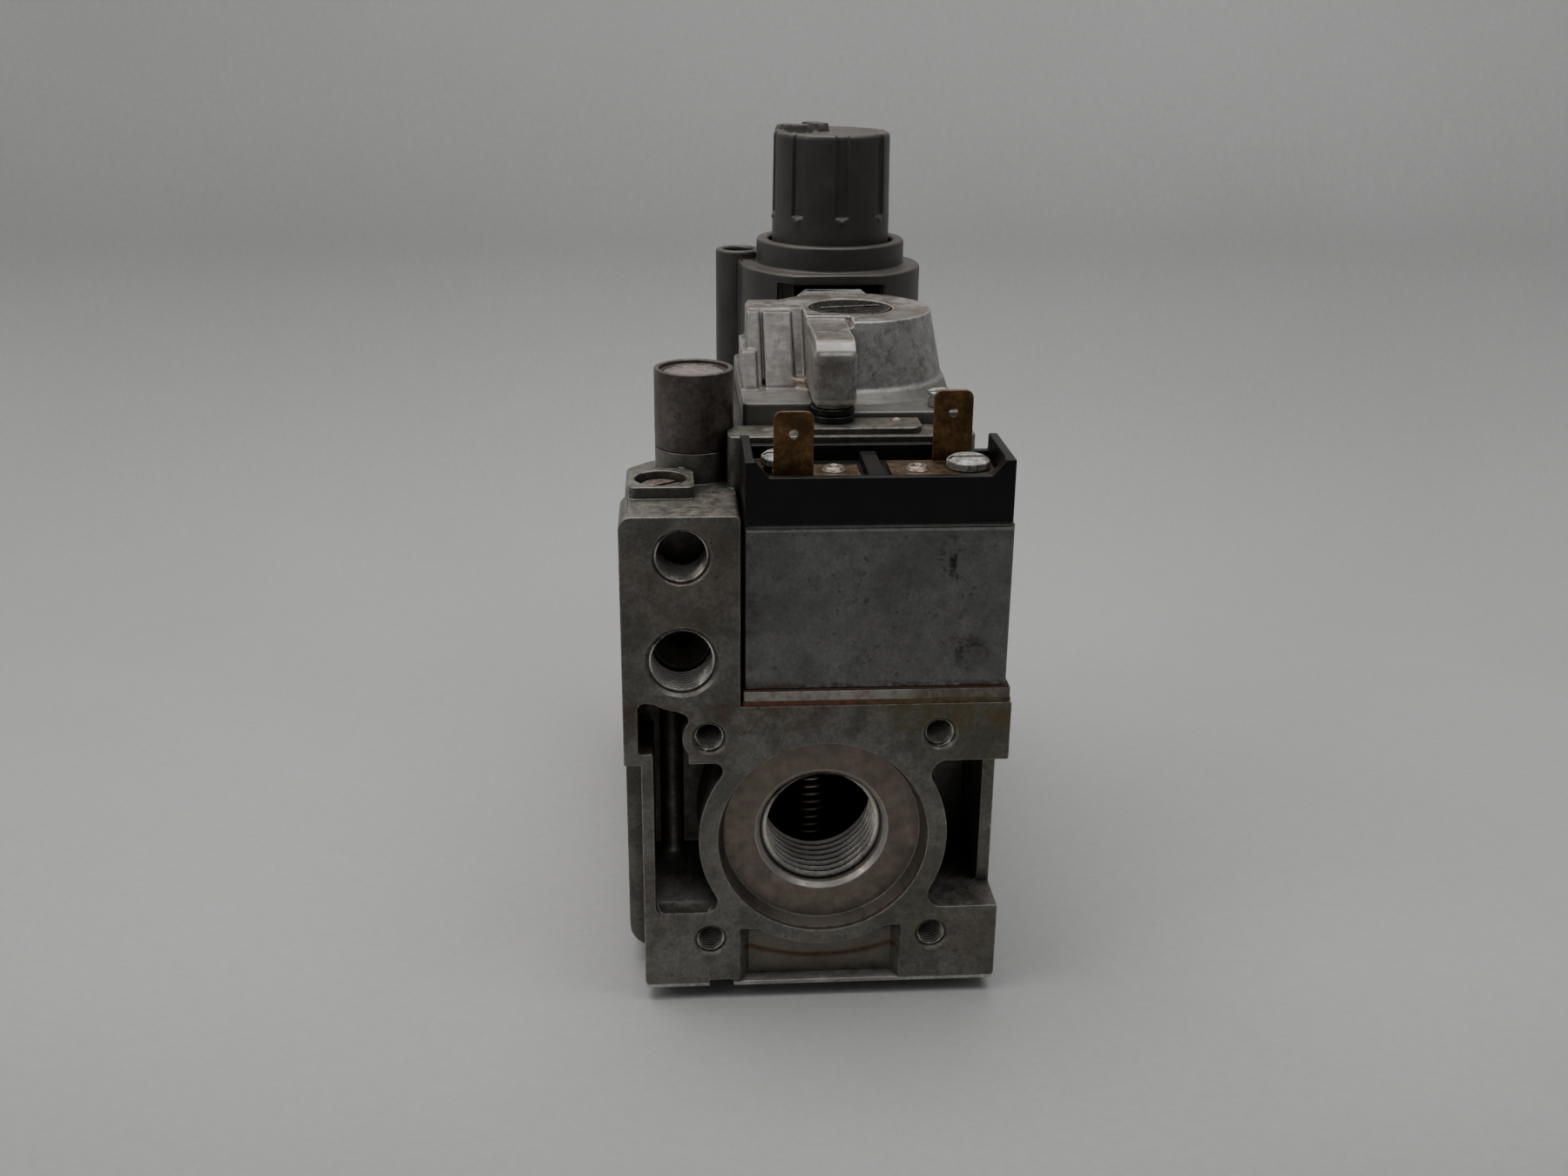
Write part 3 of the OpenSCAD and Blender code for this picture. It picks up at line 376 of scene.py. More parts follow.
def dome_stains(g, col):
    n = g.noise(190, 6, 0.7, seed=51)
    left = g.ramp(g.axis(0), 0.010, -0.004)
    col = g.mix(mul(g, g.ramp(n, 0.40, 0.62), left, 0.6), col, (0.14, 0.085, 0.055))
    rec = mul(g, g.near((-0.0018, 0.036, 0.0705), 0.0055), g.ramp(n, 0.34, 0.56, 0.35, 1.0))
    col = g.mix(mul(g, rec, 0.85), col, (0.15, 0.07, 0.03))
    top = mul(g, g.ramp(g.normal_axis(2), 0.8, 0.98), g.ramp(g.axis(2), 0.078, 0.0795), g.ramp(n, 0.35, 0.65, 0.45, 0.95))
    col = g.mix(top, col, (0.135, 0.105, 0.085))
    pt = g.pointy()
    # darker in the creases: painted shade with grime
    col = g.mix(mul(g, g.ramp(pt, 0.488, 0.470), 0.75), col, (0.055, 0.038, 0.028))
    # painted highlight: light colour on the convex ridges
    col = g.mix(mul(g, g.ramp(pt, 0.514, 0.560), g.ramp(n, 0.40, 0.60, 0.05, 0.75)), col, (0.62, 0.60, 0.57))
    bl = g.noise(60, 6, 0.72, seed=53)
    col = g.mix(mul(g, g.ramp(bl, 0.50, 0.58), g.ramp(g.axis(2), 0.069, 0.070), 0.5), col, (0.16, 0.155, 0.145))
    col = g.mix(mul(g, g.ramp(bl, 0.47, 0.40), g.ramp(g.axis(2), 0.069, 0.071), 0.5), col, (0.46, 0.455, 0.44))
    slope = mul(g, g.ramp(g.normal_axis(1), -0.45, -0.62), g.ramp(g.normal_axis(2), 0.45, 0.62), g.ramp(g.axis(0), 0.0, -0.001))
    col = g.mix(mul(g, slope, g.ramp(n, 0.3, 0.65, 0.66, 0.9)), col, (0.066, 0.059, 0.053))
    base = g.ramp(g.axis(2), 0.0688, 0.0682)
    col = g.mix(mul(g, base, 0.85), col, (0.125, 0.118, 0.106))
    # painted highlight on the vent boss's head; clean metal at its foot
    # painted highlight: light colour over the boss's head
    boss_head_highlight = mul(g, g.band(0, -0.001, 0.0063, 0.0002), g.band(1, 0.020, 0.0235, 0.0008), g.ramp(g.axis(2), 0.0762, 0.0772))
    col = g.mix(mul(g, boss_head_highlight, g.ramp(n, 0.4, 0.6, 0.1, 0.5)), col, (0.55, 0.53, 0.50))
    foot = mul(g, g.band(0, -0.001, 0.0063, 0.0002), g.band(1, 0.020, 0.0265, 0.0008), g.band(2, 0.0686, 0.0700, 0.0002), g.ramp(n, 0.4, 0.6, 0.3, 1.0))
    col = g.mix(foot, col, (0.62, 0.56, 0.47))
    return col, [(g.noise(380, 4, 0.65, seed=55), 6e-5), (g.noise(120, 3, 0.6, seed=56), 1.4e-4)]


def brass_dirt(g, col):
    n = g.noise(300, 6, 0.7, seed=61)
    flat = g.ramp(g.normal_axis(2), 0.7, 0.95)
    col = g.mix(g.math("MULTIPLY", flat, g.ramp(n, 0.3, 0.6, 0.5, 0.95)), col, (0.13, 0.10, 0.075))
    col = g.mix(g.math("MULTIPLY", g.ramp(n, 0.42, 0.60), 0.75), col, (0.075, 0.04, 0.018))
    return col, []


def root_shade_and_tint(g, col):
    """Bright worn crests; the thread's roots darkened as painted shade."""
    a = g.t.nodes.new("ShaderNodeAttribute")
    a.attribute_name = "crest"
    n = g.noise(500, 4, 0.6, seed=81)
    # painted shade: dark colour at the thread roots
    col = g.mix(g.ramp(a.outputs["Fac"], 0.80, 0.25, 0.0, 0.97), col, (0.022, 0.018, 0.013))
    col = g.mix(g.ramp(n, 0.56, 0.70, 0.0, 0.25), col, (0.20, 0.155, 0.12))
    return col, []


def plate_dirt(g, col):
    """The insulating board: brown on its edges and grubby to the right."""
    n = g.noise(520, 6, 0.7, seed=71)
    right = g.ramp(g.axis(0), 0.013, 0.016)
    col = g.mix(mul(g, right, g.ramp(n, 0.36, 0.6, 0.45, 1.0)), col, (0.11, 0.085, 0.055))
    col = g.mix(mul(g, g.ramp(n, 0.48, 0.60), 0.55), col, (0.20, 0.155, 0.11))
    return col


def gasket_tone(g, col):
    """Brown upper sheet; the lower one goes from brick red to olive."""
    n = g.noise(600, 5, 0.7, seed=73)
    hi = g.ramp(g.axis(2), 0.0258, 0.0262)
    col = g.mix(mul(g, g.ramp(g.axis(0), -0.002, 0.016), 0.9), col, (0.135, 0.105, 0.035))
    col = g.mix(hi, col, (0.055, 0.030, 0.020))
    col = g.mix(g.ramp(n, 0.40, 0.62, 0.0, 0.75), col, (0.045, 0.028, 0.018))
    return col


MAT = {}
MAT["cast_alloy"] = metal("valve_cast_milled", (0.172, 0.163, 0.143), (0.250, 0.238, 0.212), 0.72, 0.44, blotch=80, blotch_amt=0.8,
                          stain=((0.090, 0.058, 0.036), 0.35), edge=((0.66, 0.63, 0.58), 0.85), ao_shade=0.8, extra=flange_stains, mottle=0.34,
                          specks=0.8)
MAT["cast_bright"] = metal("valve_cast_bright", (0.285, 0.278, 0.262), (0.42, 0.413, 0.395), 0.38, 0.44, blotch=110, blotch_amt=0.8,
                           stain=((0.15, 0.10, 0.075), 0.35), edge=((0.80, 0.78, 0.74), 0.55), ao_shade=0.8, ao_shade_col=(0.035, 0.024, 0.016),
                           extra=dome_stains, mottle=0.32, specks=0.5)
MAT["zinc_steel"] = metal("coil_steel", (0.185, 0.184, 0.178), (0.245, 0.245, 0.236), 0.8, 0.40, grain=3200, grain_h=6e-6, blotch=70, blotch_amt=0.7,
                          stain=((0.085, 0.075, 0.060), 0.25), edge=((0.60, 0.60, 0.57), 0.7), ao_shade=0.5, extra=coil_marks, mottle=0.24, specks=0.6,
                          soften=0.0002)
MAT["screw_zinc"] = metal("screw_zinc", (0.30, 0.30, 0.27), (0.55, 0.55, 0.50), 0.4, 0.55, grain=2200, grain_h=2.5e-5, blotch=420, blotch_amt=0.6,
                          stain=((0.09, 0.085, 0.07), 0.6), edge=((0.70, 0.69, 0.65), 0.35), ao_shade=0.7, pits=3e-5, mottle=0.8, specks=0.8)
MAT["spring_steel"] = metal("spring_steel", (0.50, 0.45, 0.36), (0.62, 0.56, 0.46), 0.95, 0.28, grain_h=4e-6, edge=((1, 1, 1), 0.0), ao_shade=0.3, mottle=0.2, specks=0.2)
MAT["brass"] = metal("brass_blades", (0.20, 0.105, 0.040), (0.30, 0.175, 0.075), 0.75, 0.42, grain=2400, grain_h=6e-6, blotch=140, blotch_amt=0.9,
                     stain=((0.10, 0.05, 0.022), 0.6), edge=((0.50, 0.36, 0.20), 0.5), ao_shade=0.7, extra=brass_dirt, mottle=0.45, specks=0.6)
MAT["black_plastic"] = plastic("black_moulding", (0.0042, 0.0042, 0.0042), 0.42, dust=0.05, dust_col=(0.055, 0.050, 0.042), up_dust=0.10,
                               wear=((0.07, 0.066, 0.058), 0.4), spec=0.32)
MAT["grey_plastic"] = plastic("grey_moulding", (0.052, 0.049, 0.044), 0.40, dust=0.12, dust_col=(0.13, 0.105, 0.088), up_dust=0.5,
                              wear=((0.14, 0.13, 0.12), 0.35), spec=0.45)
MAT["cream_plastic"] = plastic("cream_board", (0.36, 0.335, 0.30), 0.6, dust=0.45, dust_col=(0.17, 0.13, 0.095), up_dust=0.1, wear=((0.2, 0.16, 0.12), 0.3),
                               extra=plate_dirt)
MAT["red_gasket"] = plastic("red_gasket", (0.20, 0.060, 0.032), 0.75, dust=0.45, dust_col=(0.10, 0.055, 0.03), up_dust=0.1, wear=((0.16, 0.08, 0.05), 0.2),
                            grain_h=2e-5, extra=gasket_tone)
MAT["black_rubber"] = plastic("black_rubber", (0.006, 0.006, 0.006), 0.36, dust=0.05, dust_col=(0.05, 0.05, 0.05), up_dust=0.04, wear=((0.04, 0.04, 0.04), 0.2))
MAT["silver_plate"] = metal("silver_plate", (0.62, 0.62, 0.60), (0.78, 0.78, 0.76), 0.85, 0.30, grain_h=3e-6, blotch=200, blotch_amt=0.5,
                            stain=((0.3, 0.27, 0.22), 0.2), edge=((0.85, 0.85, 0.83), 0.4), ao_shade=0.3, mottle=0.25, specks=0.3)
MAT["cover_steel"] = metal("cover_steel", (0.42, 0.42, 0.40), (0.58, 0.58, 0.55), 0.6, 0.38, grain_h=4e-6, blotch=120, blotch_amt=0.8,
                           stain=((0.16, 0.13, 0.10), 0.45), edge=((0.85, 0.85, 0.82), 0.6), ao_shade=0.15, mottle=0.3, specks=0.5)
# painted light: near-white base with metallic off, so the plate reads bright inside the shaded window
MAT["latch"] = metal("latch_brightened", (0.86, 0.86, 0.84), (0.93, 0.93, 0.91), 0.0, 0.42, grain_h=3e-6, blotch=200, blotch_amt=0.5,
                      stain=((0.3, 0.27, 0.22), 0.2), edge=((0.9, 0.9, 0.88), 0.4), ao_shade=0.15, mottle=0.2, specks=0.3)
MAT["copper_cap"] = metal("swaged_cap", (0.26, 0.215, 0.20), (0.36, 0.31, 0.29), 0.6, 0.46, blotch=260, blotch_amt=0.8,
                          stain=((0.15, 0.11, 0.09), 0.5), edge=((0.5, 0.45, 0.4), 0.3), ao_shade=0.7, mottle=0.5, specks=0.4)
MAT["filter_mesh"] = metal("filter_mesh", (0.45, 0.45, 0.43), None, 0.9, 0.4, edge=((1, 1, 1), 0.0))
MAT["tower"] = metal("power_tower", (0.120, 0.100, 0.088), (0.185, 0.158, 0.142), 0.75, 0.40, blotch=130, blotch_amt=0.7,
                     stain=((0.075, 0.048, 0.034), 0.45), edge=((0.45, 0.41, 0.38), 0.6), ao_shade=0.7, mottle=0.30, specks=0.4)
# the strong bright edge colour on the cap is partly wear and partly a painted highlight along the slot
MAT["cap_dark"] = metal("regulator_cap_dark", (0.060, 0.054, 0.048), (0.105, 0.095, 0.085), 0.8, 0.30, blotch=200, blotch_amt=0.8,
                        stain=((0.09, 0.055, 0.035), 0.4), edge=((0.75, 0.72, 0.66), 0.9), ao_shade=0.7, mottle=0.3, specks=0.3)
MAT["brown_steel"] = metal("adjuster_steel", (0.24, 0.19, 0.155), (0.38, 0.32, 0.27), 0.75, 0.38, blotch=300, blotch_amt=0.8,
                           stain=((0.08, 0.045, 0.028), 0.4), edge=((0.62, 0.58, 0.52), 0.6), ao_shade=0.8, mottle=0.5, specks=0.5)
MAT["thread"] = metal("cut_thread", (0.64, 0.595, 0.54), (0.87, 0.825, 0.76), 0.90, 0.30, blotch=200, blotch_amt=0.5, grain_h=2e-6,
                      stain=((0.40, 0.33, 0.26), 0.25), edge=((0.95, 0.92, 0.88), 0.3), ao_shade=0.25, ao_shade_col=(0.06, 0.048, 0.036), mottle=0.10, specks=0.0, extra=root_shade_and_tint)
MAT["thread_dark"] = metal("cut_thread_dark", (0.44, 0.40, 0.355), (0.70, 0.65, 0.585), 0.90, 0.31, blotch=200, blotch_amt=0.6, grain_h=2e-6,
                           stain=((0.26, 0.20, 0.15), 0.3), edge=((0.85, 0.82, 0.77), 0.3), ao_shade=0.25, ao_shade_col=(0.04, 0.032, 0.024), mottle=0.12, specks=0.0, extra=root_shade_and_tint)

SLOT = {s["node"]: s["material_slot"] for s in frame["record"]["subparts"]}
CLASS = {"power_housing": "tower", "pilot_adjuster": "brown_steel", "regulator_cap": "cap_dark", "terminal_rivets": "brown_steel", "bottom_cover": "cover_steel", "latch_plate": "latch"}


def paint(obj, key):
    obj.data.materials.clear()
    obj.data.materials.append(MAT[key])


for n, o in NODES.items():
    paint(o, CLASS.get(n, SLOT[n]))


# ------------------------------------------------------------------ geometry helpers
def new_obj(name, me):
    o = bpy.data.objects.new(name, me)
    bpy.context.scene.collection.objects.link(o)
    return o


def apply_mods(o):
    dg = bpy.context.evaluated_depsgraph_get()
    me = bpy.data.meshes.new_from_object(o.evaluated_get(dg))
    o.modifiers.clear()
    old = o.data
    o.data = me
    bpy.data.meshes.remove(old)


def sharp_smooth(me, deg=32):
    """Smooth shading with edges over an angle kept sharp."""
    bm = bmesh.new()
    bm.from_mesh(me)
    lim = math.radians(deg)
    for e in bm.edges:
        e.smooth = not (len(e.link_faces) == 2 and e.calc_face_angle(0) > lim)
    for f in bm.faces:
        f.smooth = True
    bm.to_mesh(me)
    bm.free()


def refine(node, width, segs=2, angle=28, key=None, body="body", name=None, voxel=0.0, soft=4):
    """A finished copy of a CAD node: welded, flats merged, edges rounded by real geometry."""
    src = NODES[node]
    me = src.data.copy()
    bm = bmesh.new()
    bm.from_mesh(me)
    bmesh.ops.remove_doubles(bm, verts=bm.verts, dist=2e-6)
    bmesh.ops.dissolve_limit(bm, angle_limit=math.radians(0.4), verts=bm.verts, edges=bm.edges, delimit={"NORMAL"})
    bm.to_mesh(me)
    bm.free()
    me.attributes.remove(me.attributes["custom_normal"]) if "custom_normal" in me.attributes else None
    o = new_obj(name or node + "_finished", me)
    if voxel > 0:
        r = o.modifiers.new("skin", "REMESH")
        r.mode = "VOXEL"
        r.voxel_size = voxel
        q = o.modifiers.new("soften", "SMOOTH")
        q.factor = 0.5
        q.iterations = soft
        apply_mods(o)
        sharp_smooth(o.data, 60)
    else:
        if width > 0:
            m = o.modifiers.new("round", "BEVEL")
            m.width = width
            m.segments = segs
            m.limit_method = "ANGLE"
            m.angle_limit = math.radians(angle)
            m.use_clamp_overlap = False
            m.miter_outer = "MITER_ARC"
            m.harden_normals = True
        t = o.modifiers.new("tri", "TRIANGULATE")
        t.quad_method = "BEAUTY"
        t.keep_custom_normals = True
        sharp_smooth(o.data, 30)
        low = [min(v.co[i] for v in src.data.vertices) for i in range(3)]
        high = [max(v.co[i] for v in src.data.vertices) for i in range(3)]
        tree = BVHTree.FromPolygons([v.co for v in src.data.vertices], [tuple(q.vertices) for q in src.data.polygons])
        apply_mods(o)
        # where edges are closer together than the rounding, fall back on the node's own surface
        for v in o.data.vertices:
            near = tree.find_nearest(v.co)
            if near[0] is not None and near[3] > 0.5 * width + 1e-6:
                v.co = near[0]
            v.co = Vector([min(max(v.co[i], low[i]), high[i]) for i in range(3)])
    paint(o, key or CLASS.get(node, SLOT[node]))
    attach(o, body)
    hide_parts(node)
    return o


def grid_mesh(name, rows, closed_u=True, caps=False):
    """Mesh from rows of points; rows share a length."""
    bm = bmesh.new()
    vs = [[bm.verts.new(p) for p in r] for r in rows]
    nu = len(rows[0])
    for i in range(len(rows) - 1):
        for k in range(nu if closed_u else nu - 1):
            j = (k + 1) % nu
            bm.faces.new((vs[i][k], vs[i][j], vs[i + 1][j], vs[i + 1][k]))
    if caps:
        bm.faces.new(list(reversed(vs[0])))
        bm.faces.new(vs[-1])
    bmesh.ops.recalc_face_normals(bm, faces=bm.faces)
    me = bpy.data.meshes.new(name)
    bm.to_mesh(me)
    bm.free()
    for p in me.polygons:
        p.use_smooth = True
    return new_obj(name, me)


def helix_tube(name, c, z0, z1, r, wire, turns, seg=40, sides=12, flat=0.8):
    """Round spring wire with closed end turns, as a tube."""
    rows = []
    n = int(turns * seg)
    for i in range(n + 1):
        t = i / n
        a = t * turns * 2 * math.pi
        # closed ends: less pitch over the first and last turn
        k = flat / turns
        if t < k:
            s = 0.35 * (t / k) ** 2 * k
        elif t > 1 - k:
            s = 1 - 0.35 * ((1 - t) / k) ** 2 * k
        else:
            s = 0.35 * k + (t - k) / (1 - 2 * k) * (1 - 0.7 * k)
        z = z0 + wire / 2 + (z1 - z0 - wire) * s
        rad = Vector((math.cos(a), math.sin(a), 0))
        rows.append([Vector((c[0], c[1], z)) + rad * (r + wire / 2 * math.cos(b)) + Vector((0, 0, wire / 2 * math.sin(b)))
                     for b in [2 * math.pi * q / sides for q in range(sides)]])
    return grid_mesh(name, rows, True, True)


def thread(name, c, y0, y1, r_major, r_minor, pitch, face=-1, lead=0.5, key="thread", seg=72, phase=0.0):
    """Helical internal thread: a closed ridge that stands from the bore's wall to the minor radius."""
    h = r_major - r_minor
    turns = (y1 - y0) / pitch
    n = int(turns * seg)
    prof = [(-0.5, -0.04), (-0.34, 0.0), (-0.11, 0.96), (-0.06, 1.03), (0.06, 1.03), (0.11, 0.96), (0.34, 0.0), (0.5, -0.04)]
    rows = []
    crest = []
    for i in range(n + 1):
        t = i * pitch / seg
        a = 2 * math.pi * i / seg + phase
        # the first and last half turn run out
        d = min(t, (y1 - y0) - t) / (pitch * lead)
        k = max(0.02, min(1.0, d))
        k = k * k * (3 - 2 * k)
        row = []
        for (u, v) in prof:
            rr = r_major + 0.00003 - h * (v * k if v > 0 else v)
            y = y0 + t + u * pitch * 0.98
            y = min(max(y, y0), y1)
            row.append(Vector((c[0] + rr * math.cos(a), y, c[1] + rr * math.sin(a))))
        rows.append(row)
        crest += [max(0.0, min(1.0, v)) * k for (u, v) in prof]
    o = grid_mesh(name, rows, True, True)
    at = o.data.attributes.new("crest", "FLOAT", "POINT")
    at.data.foreach_set("value", crest)
    sharp_smooth(o.data, 40)
    paint(o, key)
    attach(o, "body")
    return o


# ------------------------------------------------------------------ camera, stage, light
def smooth01(t):
    t = max(0.0, min(1.0, t))
    return t * t * (3 - 2 * t)


def make_knob():
    """The moulded knob: shallow flutes that run out through the top edge, a small bead under each, a dished top with ridges."""
    cx, cy = 7.6, 86.0
    nf, off = 8, 5.6

    def radius(z, a):
        base = 11.56 - 0.26 * (z - 84) / 24
        best = 0.0
        bead = 0.0
        for i in range(nf):
            d = (a - math.radians(off + i * 360 / nf) + math.pi) % (2 * math.pi) - math.pi
            w = abs(d) * 11.4
            f = smooth01((1.42 - w) / 0.34)
            best = max(best, f * smooth01((z - 92.3) / 0.5))
            q = math.hypot(w / 0.85, (z - 91.75) / 0.6)
            bead = max(bead, smooth01(1.15 - q))
        return base - 0.62 * best + 0.34 * bead

    zs = [84.0, 84.15, 84.4]
    zs += [84.9 + 0.45 * i for i in range(12)]
    zs += [90.2 + 0.16 * i for i in range(22)]
    zs += [94.2 + 0.7 * i for i in range(18)]
    zs += [106.6, 107.0]
    zs = sorted(set(round(z, 3) for z in zs))
    n = 400
    rows = []
    ang = [2 * math.pi * k / n for k in range(n)]
    rows.append([Vector((cx + 3.2 * math.cos(a), cy + 3.2 * math.sin(a), 84.1)) for a in ang])
    rows.append([Vector((cx + 10.6 * math.cos(a), cy + 10.6 * math.sin(a), 84.1)) for a in ang])
    for z in zs:
        inset = 0.35 * max(0.0, 1 - (z - 84.0) / 0.35)
        rows.append([Vector((cx + (radius(z, a) - inset) * math.cos(a), cy + (radius(z, a) - inset) * math.sin(a), z)) for a in ang])
    # rounded top edge, then the dished top with two raised ridges at the back
    def top(rr, a):
        x, y = rr * math.cos(a), rr * math.sin(a)
        z = 107.95 - 0.55 * smooth01((9.9 - rr) / 1.6)
        h = 0.0
        for deg in (110, 160):
            t = math.radians(deg)
            u = x * math.cos(t) + y * math.sin(t)
            v = -x * math.sin(t) + y * math.cos(t)
            f = smooth01((1.75 - abs(v)) / 0.35) * smooth01((u - 4.3) / 0.5) * smooth01((10.75 - u) / 0.35)
            h = max(h, f)
        return z + h * (108.95 - z)
    for q in range(1, 6):
        t = math.pi / 2 * q / 5
        row = []
        for a in ang:
            r0 = radius(107.0, a)
            rr = r0 - 0.8 + 0.8 * math.cos(t)
            z = 107.0 + (top(r0 - 0.8, a) - 107.0) * math.sin(t)
            row.append(Vector((cx + rr * math.cos(a), cy + rr * math.sin(a), z)))
        rows.append(row)
    for i in range(1, 34):
        f = 1 - i / 34
        row = []
        for a in ang:
            rr = (radius(107.0, a) - 0.8) * f
            row.append(Vector((cx + rr * math.cos(a), cy + rr * math.sin(a), top(rr, a))))
        rows.append(row)
    rows = [[p * MM for p in row] for row in rows]
    o = grid_mesh("control_knob_finished", rows, True, True)
    sharp_smooth(o.data, 45)
    paint(o, "grey_plastic")
    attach(o, "knob")
    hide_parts("control_knob")
    return o


def make_camera():
    f, pitch, yaw, roll, X, Y, Z = 1900, 20.08, 4.12, 0.57, -24.7, -245.1, 134.8
    th, ps, ro = (math.radians(v) for v in (pitch, yaw, roll))
    fw = Vector((math.sin(ps) * math.cos(th), math.cos(ps) * math.cos(th), -math.sin(th)))
    right = Vector((math.cos(ps), -math.sin(ps), 0))
    up = right.cross(fw)
    r2 = right * math.cos(ro) + up * math.sin(ro)
    u2 = -right * math.sin(ro) + up * math.cos(ro)
    cam = bpy.data.cameras.new("cam")
    cam.lens = f * 36 / 1800
    cam.sensor_width = 36
    cam.clip_start = 0.01
    o = bpy.data.objects.new("cam", cam)
    bpy.context.scene.collection.objects.link(o)
    m = Matrix((r2, u2, -fw)).transposed().to_4x4()
    m.translation = Vector((X, Y, Z)) * MM
    o.matrix_world = m
    bpy.context.scene.camera = o


def make_stage(z):
    prof = [(-0.9, 0.0)]
    yb, r = 0.28, 0.09
    for i in range(25):
        a = math.pi / 2 * i / 24
        prof.append((yb - r + r * math.sin(a), r - r * math.cos(a)))
    prof.append((yb + 0.03, 1.3))
    rows = [[Vector((x, y, z + h)) for x in (-1.4, -0.7, 0, 0.7, 1.4)] for (y, h) in prof]
    o = grid_mesh("backdrop", rows, False)
    g = Graph("pale_paper")
    n = g.noise(6, 4, 0.5)
    pale = g.mix(g.ramp(n, 0.3, 0.7), (0.47, 0.47, 0.467), (0.51, 0.51, 0.51))
    # painted shade: the paper darkens toward the front and toward the left
    pale = g.scale(pale, g.ramp(g.axis(1), -0.16, 0.02, 0.60, 0.95))
    pale = g.scale(pale, g.ramp(g.axis(0), -0.30, 0.08, 0.90, 1.0))
    # painted light: a brighter wash up the wall, stronger to the right
    painted_wall_light = g.math("MULTIPLY", g.ramp(g.axis(2), 0.0, 0.12), g.ramp(g.axis(0), -0.22, 0.22, 0.12, 0.38))
    pale = g.scale(pale, g.math("ADD", 1.0, painted_wall_light))
    pale = g.scale(pale, g.ramp(g.noise(700, 4, 0.6, seed=2), 0.3, 0.7, 0.97, 1.03))
    g.put(g.b.inputs["Base Color"], pale)
    g.b.inputs["Roughness"].default_value = 0.7
    g.b.inputs["Specular IOR Level"].default_value = 0.25
    g.bump([(g.noise(900, 3, 0.5), 1e-5)])
    o.data.materials.append(g.mat)
    # the sheet's normals face the camera side
    bm = bmesh.new(); bm.from_mesh(o.data)
    if sum(f.normal.z for f in bm.faces) < 0:
        bmesh.ops.reverse_faces(bm, faces=bm.faces)
    bm.to_mesh(o.data); bm.free()


def area(name, loc, look, size, power, color=(1, 1, 1), size_y=None):
    l = bpy.data.lights.new(name, "AREA")
    l.energy = power
    l.size = size
    l.color = color
    if size_y:
        l.shape = "RECTANGLE"
        l.size_y = size_y
    o = bpy.data.objects.new(name, l)
    bpy.context.scene.collection.objects.link(o)
    o.location = loc
    d = (Vector(look) - Vector(loc)).normalized()
    o.rotation_euler = d.to_track_quat("-Z", "Y").to_euler()
    return o


make_camera()
FLOOR = CAD_LO.z
make_stage(FLOOR)
area("soft_top", (-0.14, 0.16, 0.72), (0.0, 0.07, 0.0), 0.50, 4.2, (1.0, 0.99, 0.97))
area("soft_left", (-0.62, -0.20, 0.50), (0.0, 0.03, 0.03), 0.38, 1.15, (1.0, 0.985, 0.96))
area("wall_wash", (0.35, -0.1, 0.9), (0.2, 0.28, 0.1), 0.5, 2.3, (1.0, 1.0, 1.0))
world = bpy.data.worlds.new("studio")
bpy.context.scene.world = world
world.use_nodes = True
bg = world.node_tree.nodes["Background"]
bg.inputs[0].default_value = (0.95, 0.97, 1.0, 1)
bg.inputs[1].default_value = 0.105

# ------------------------------------------------------------------ pieces
refine("valve_body", 0.00018, 2, 30)
refine("bottom_cover", 0.00018, 2, 30)
refine("bottom_cover_screws", 0.0002, 2, 30)
refine("coil_bracket", 0.00028, 2, 30)
refine("coil_winding", 0.0003, 2, 30)
refine("coil_plate", 0.00014, 2, 30)
refine("coil_gaskets", 0.0001, 1, 30)
refine("terminal_block", 0.00022, 2, 30)
refine("terminal_left", 0.00008, 2, 30)
refine("terminal_right", 0.00008, 2, 30)
refine("terminal_rivets", 0.00015, 2, 24)
refine("coil_screws", 0.0002, 2, 24)
refine("regulator_housing", 0, voxel=0.00024, soft=4)
refine("regulator_screws", 0.0002, 2, 24)
refine("regulator_seal_ring", 0.0002, 2, 30)
refine("regulator_cap", 0.00015, 2, 30, body="cap")
refine("knob_cover", 0.0006, 3, 30)
refine("cover_screw", 0.0002, 2, 30)
refine("latch_plate", 0.0002, 2, 30)
make_knob()
refine("power_housing", 0.00025, 2, 30)
refine("power_cap", 0.00015, 2, 30)
refine("pilot_adjuster", 0.0002, 2, 30, body="pilot_screw")

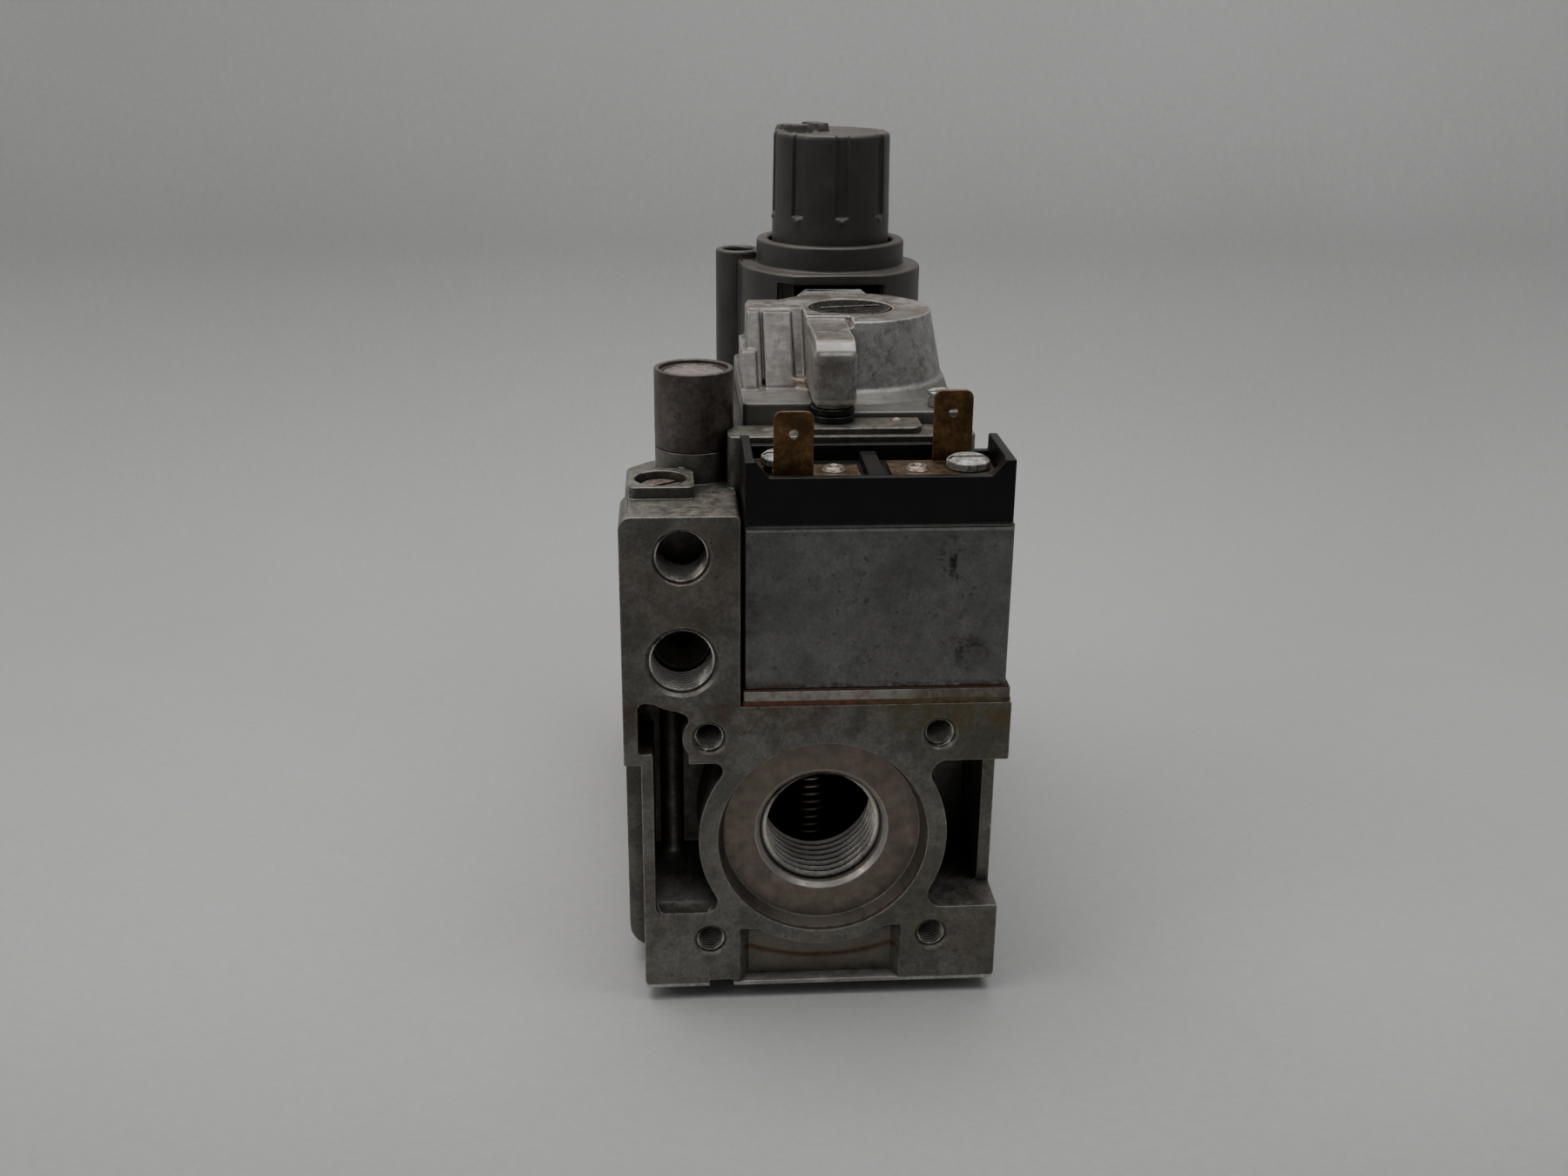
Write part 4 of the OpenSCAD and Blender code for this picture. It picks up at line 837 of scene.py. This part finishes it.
# small swaged plug on the pad in front of the regulator
prof = [(0.02, 66.03), (0.42, 66.03), (0.55, 66.12), (0.70, 66.2), (0.85, 66.2), (0.97, 66.12), (1.05, 66.0), (1.05, 65.9), (0.02, 65.9)]
plug = grid_mesh("pad_plug", [[Vector((13.3 + q[0] * math.cos(a), 24.1 + q[0] * math.sin(a), q[1])) * MM
                               for a in [2 * math.pi * k / 40 for k in range(40)]] for q in prof], True, True)
sharp_smooth(plug.data, 50)
paint(plug, "brown_steel"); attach(plug, "body")

# springs with their real round wire
sp = helix_tube("main_valve_spring_wire", (0, 0.027), -0.0118, 0.01195, 0.0039, 0.0008, 16)
paint(sp, "spring_steel"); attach(sp, "body"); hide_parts("main_valve_spring")
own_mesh(sp)
sp = helix_tube("knob_spring_wire", (0.0076, 0.086), 0.0607, 0.0919, 0.0072, 0.001, 9)
paint(sp, "spring_steel"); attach(sp, "cam"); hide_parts("knob_spring")
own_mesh(sp)
sp = helix_tube("safety_spring_wire", (0.0076, 0.086), -0.0119, 0.0101, 0.005, 0.0009, 7)
paint(sp, "spring_steel"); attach(sp, "body"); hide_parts("safety_spring")
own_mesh(sp)
sp = helix_tube("plunger_spring_wire", (0.0081, 0.00875), 0.03805, 0.0434, 0.0016, 0.0005, 4.5, 28, 8)
paint(sp, "spring_steel"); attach(sp, "body"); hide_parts("plunger_spring")
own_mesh(sp)
sp = helix_tube("regulator_spring_wire", (0.008, 0.05), 0.0647, 0.07155, 0.0041, 0.0008, 4.5)
paint(sp, "spring_steel"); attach(sp, "body"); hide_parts("regulator_spring")

# threads
thread("outlet_thread", (0, 0), 0.0042, 0.0175, 0.01048, 0.00932, 0.001814)
thread("inlet_thread", (0, 0), 0.0975, 0.1108, 0.01048, 0.00932, 0.001814)
thread("pilot_outlet_thread", (-0.0233, 0.0324), 0.0005, 0.0089, 0.0055, 0.00495, 0.001)
thread("thermocouple_thread", (-0.0232, 0.0502), 0.0003, 0.0094, 0.0045, 0.00396, 0.001, key="thread_dark")
for y0, y1, tag in ((0.0004, 0.0118, "outlet"), (0.1032, 0.1146, "inlet")):
    for i, (x, z) in enumerate([(-0.019, -0.019), (0.019, -0.019), (-0.019, 0.019), (0.019, 0.019)]):
        thread(f"{tag}_bolt_thread_{i}", (x, z), y0, y1, 0.0025, 0.00207, 0.0008, key="thread_dark", seg=36, phase=i)
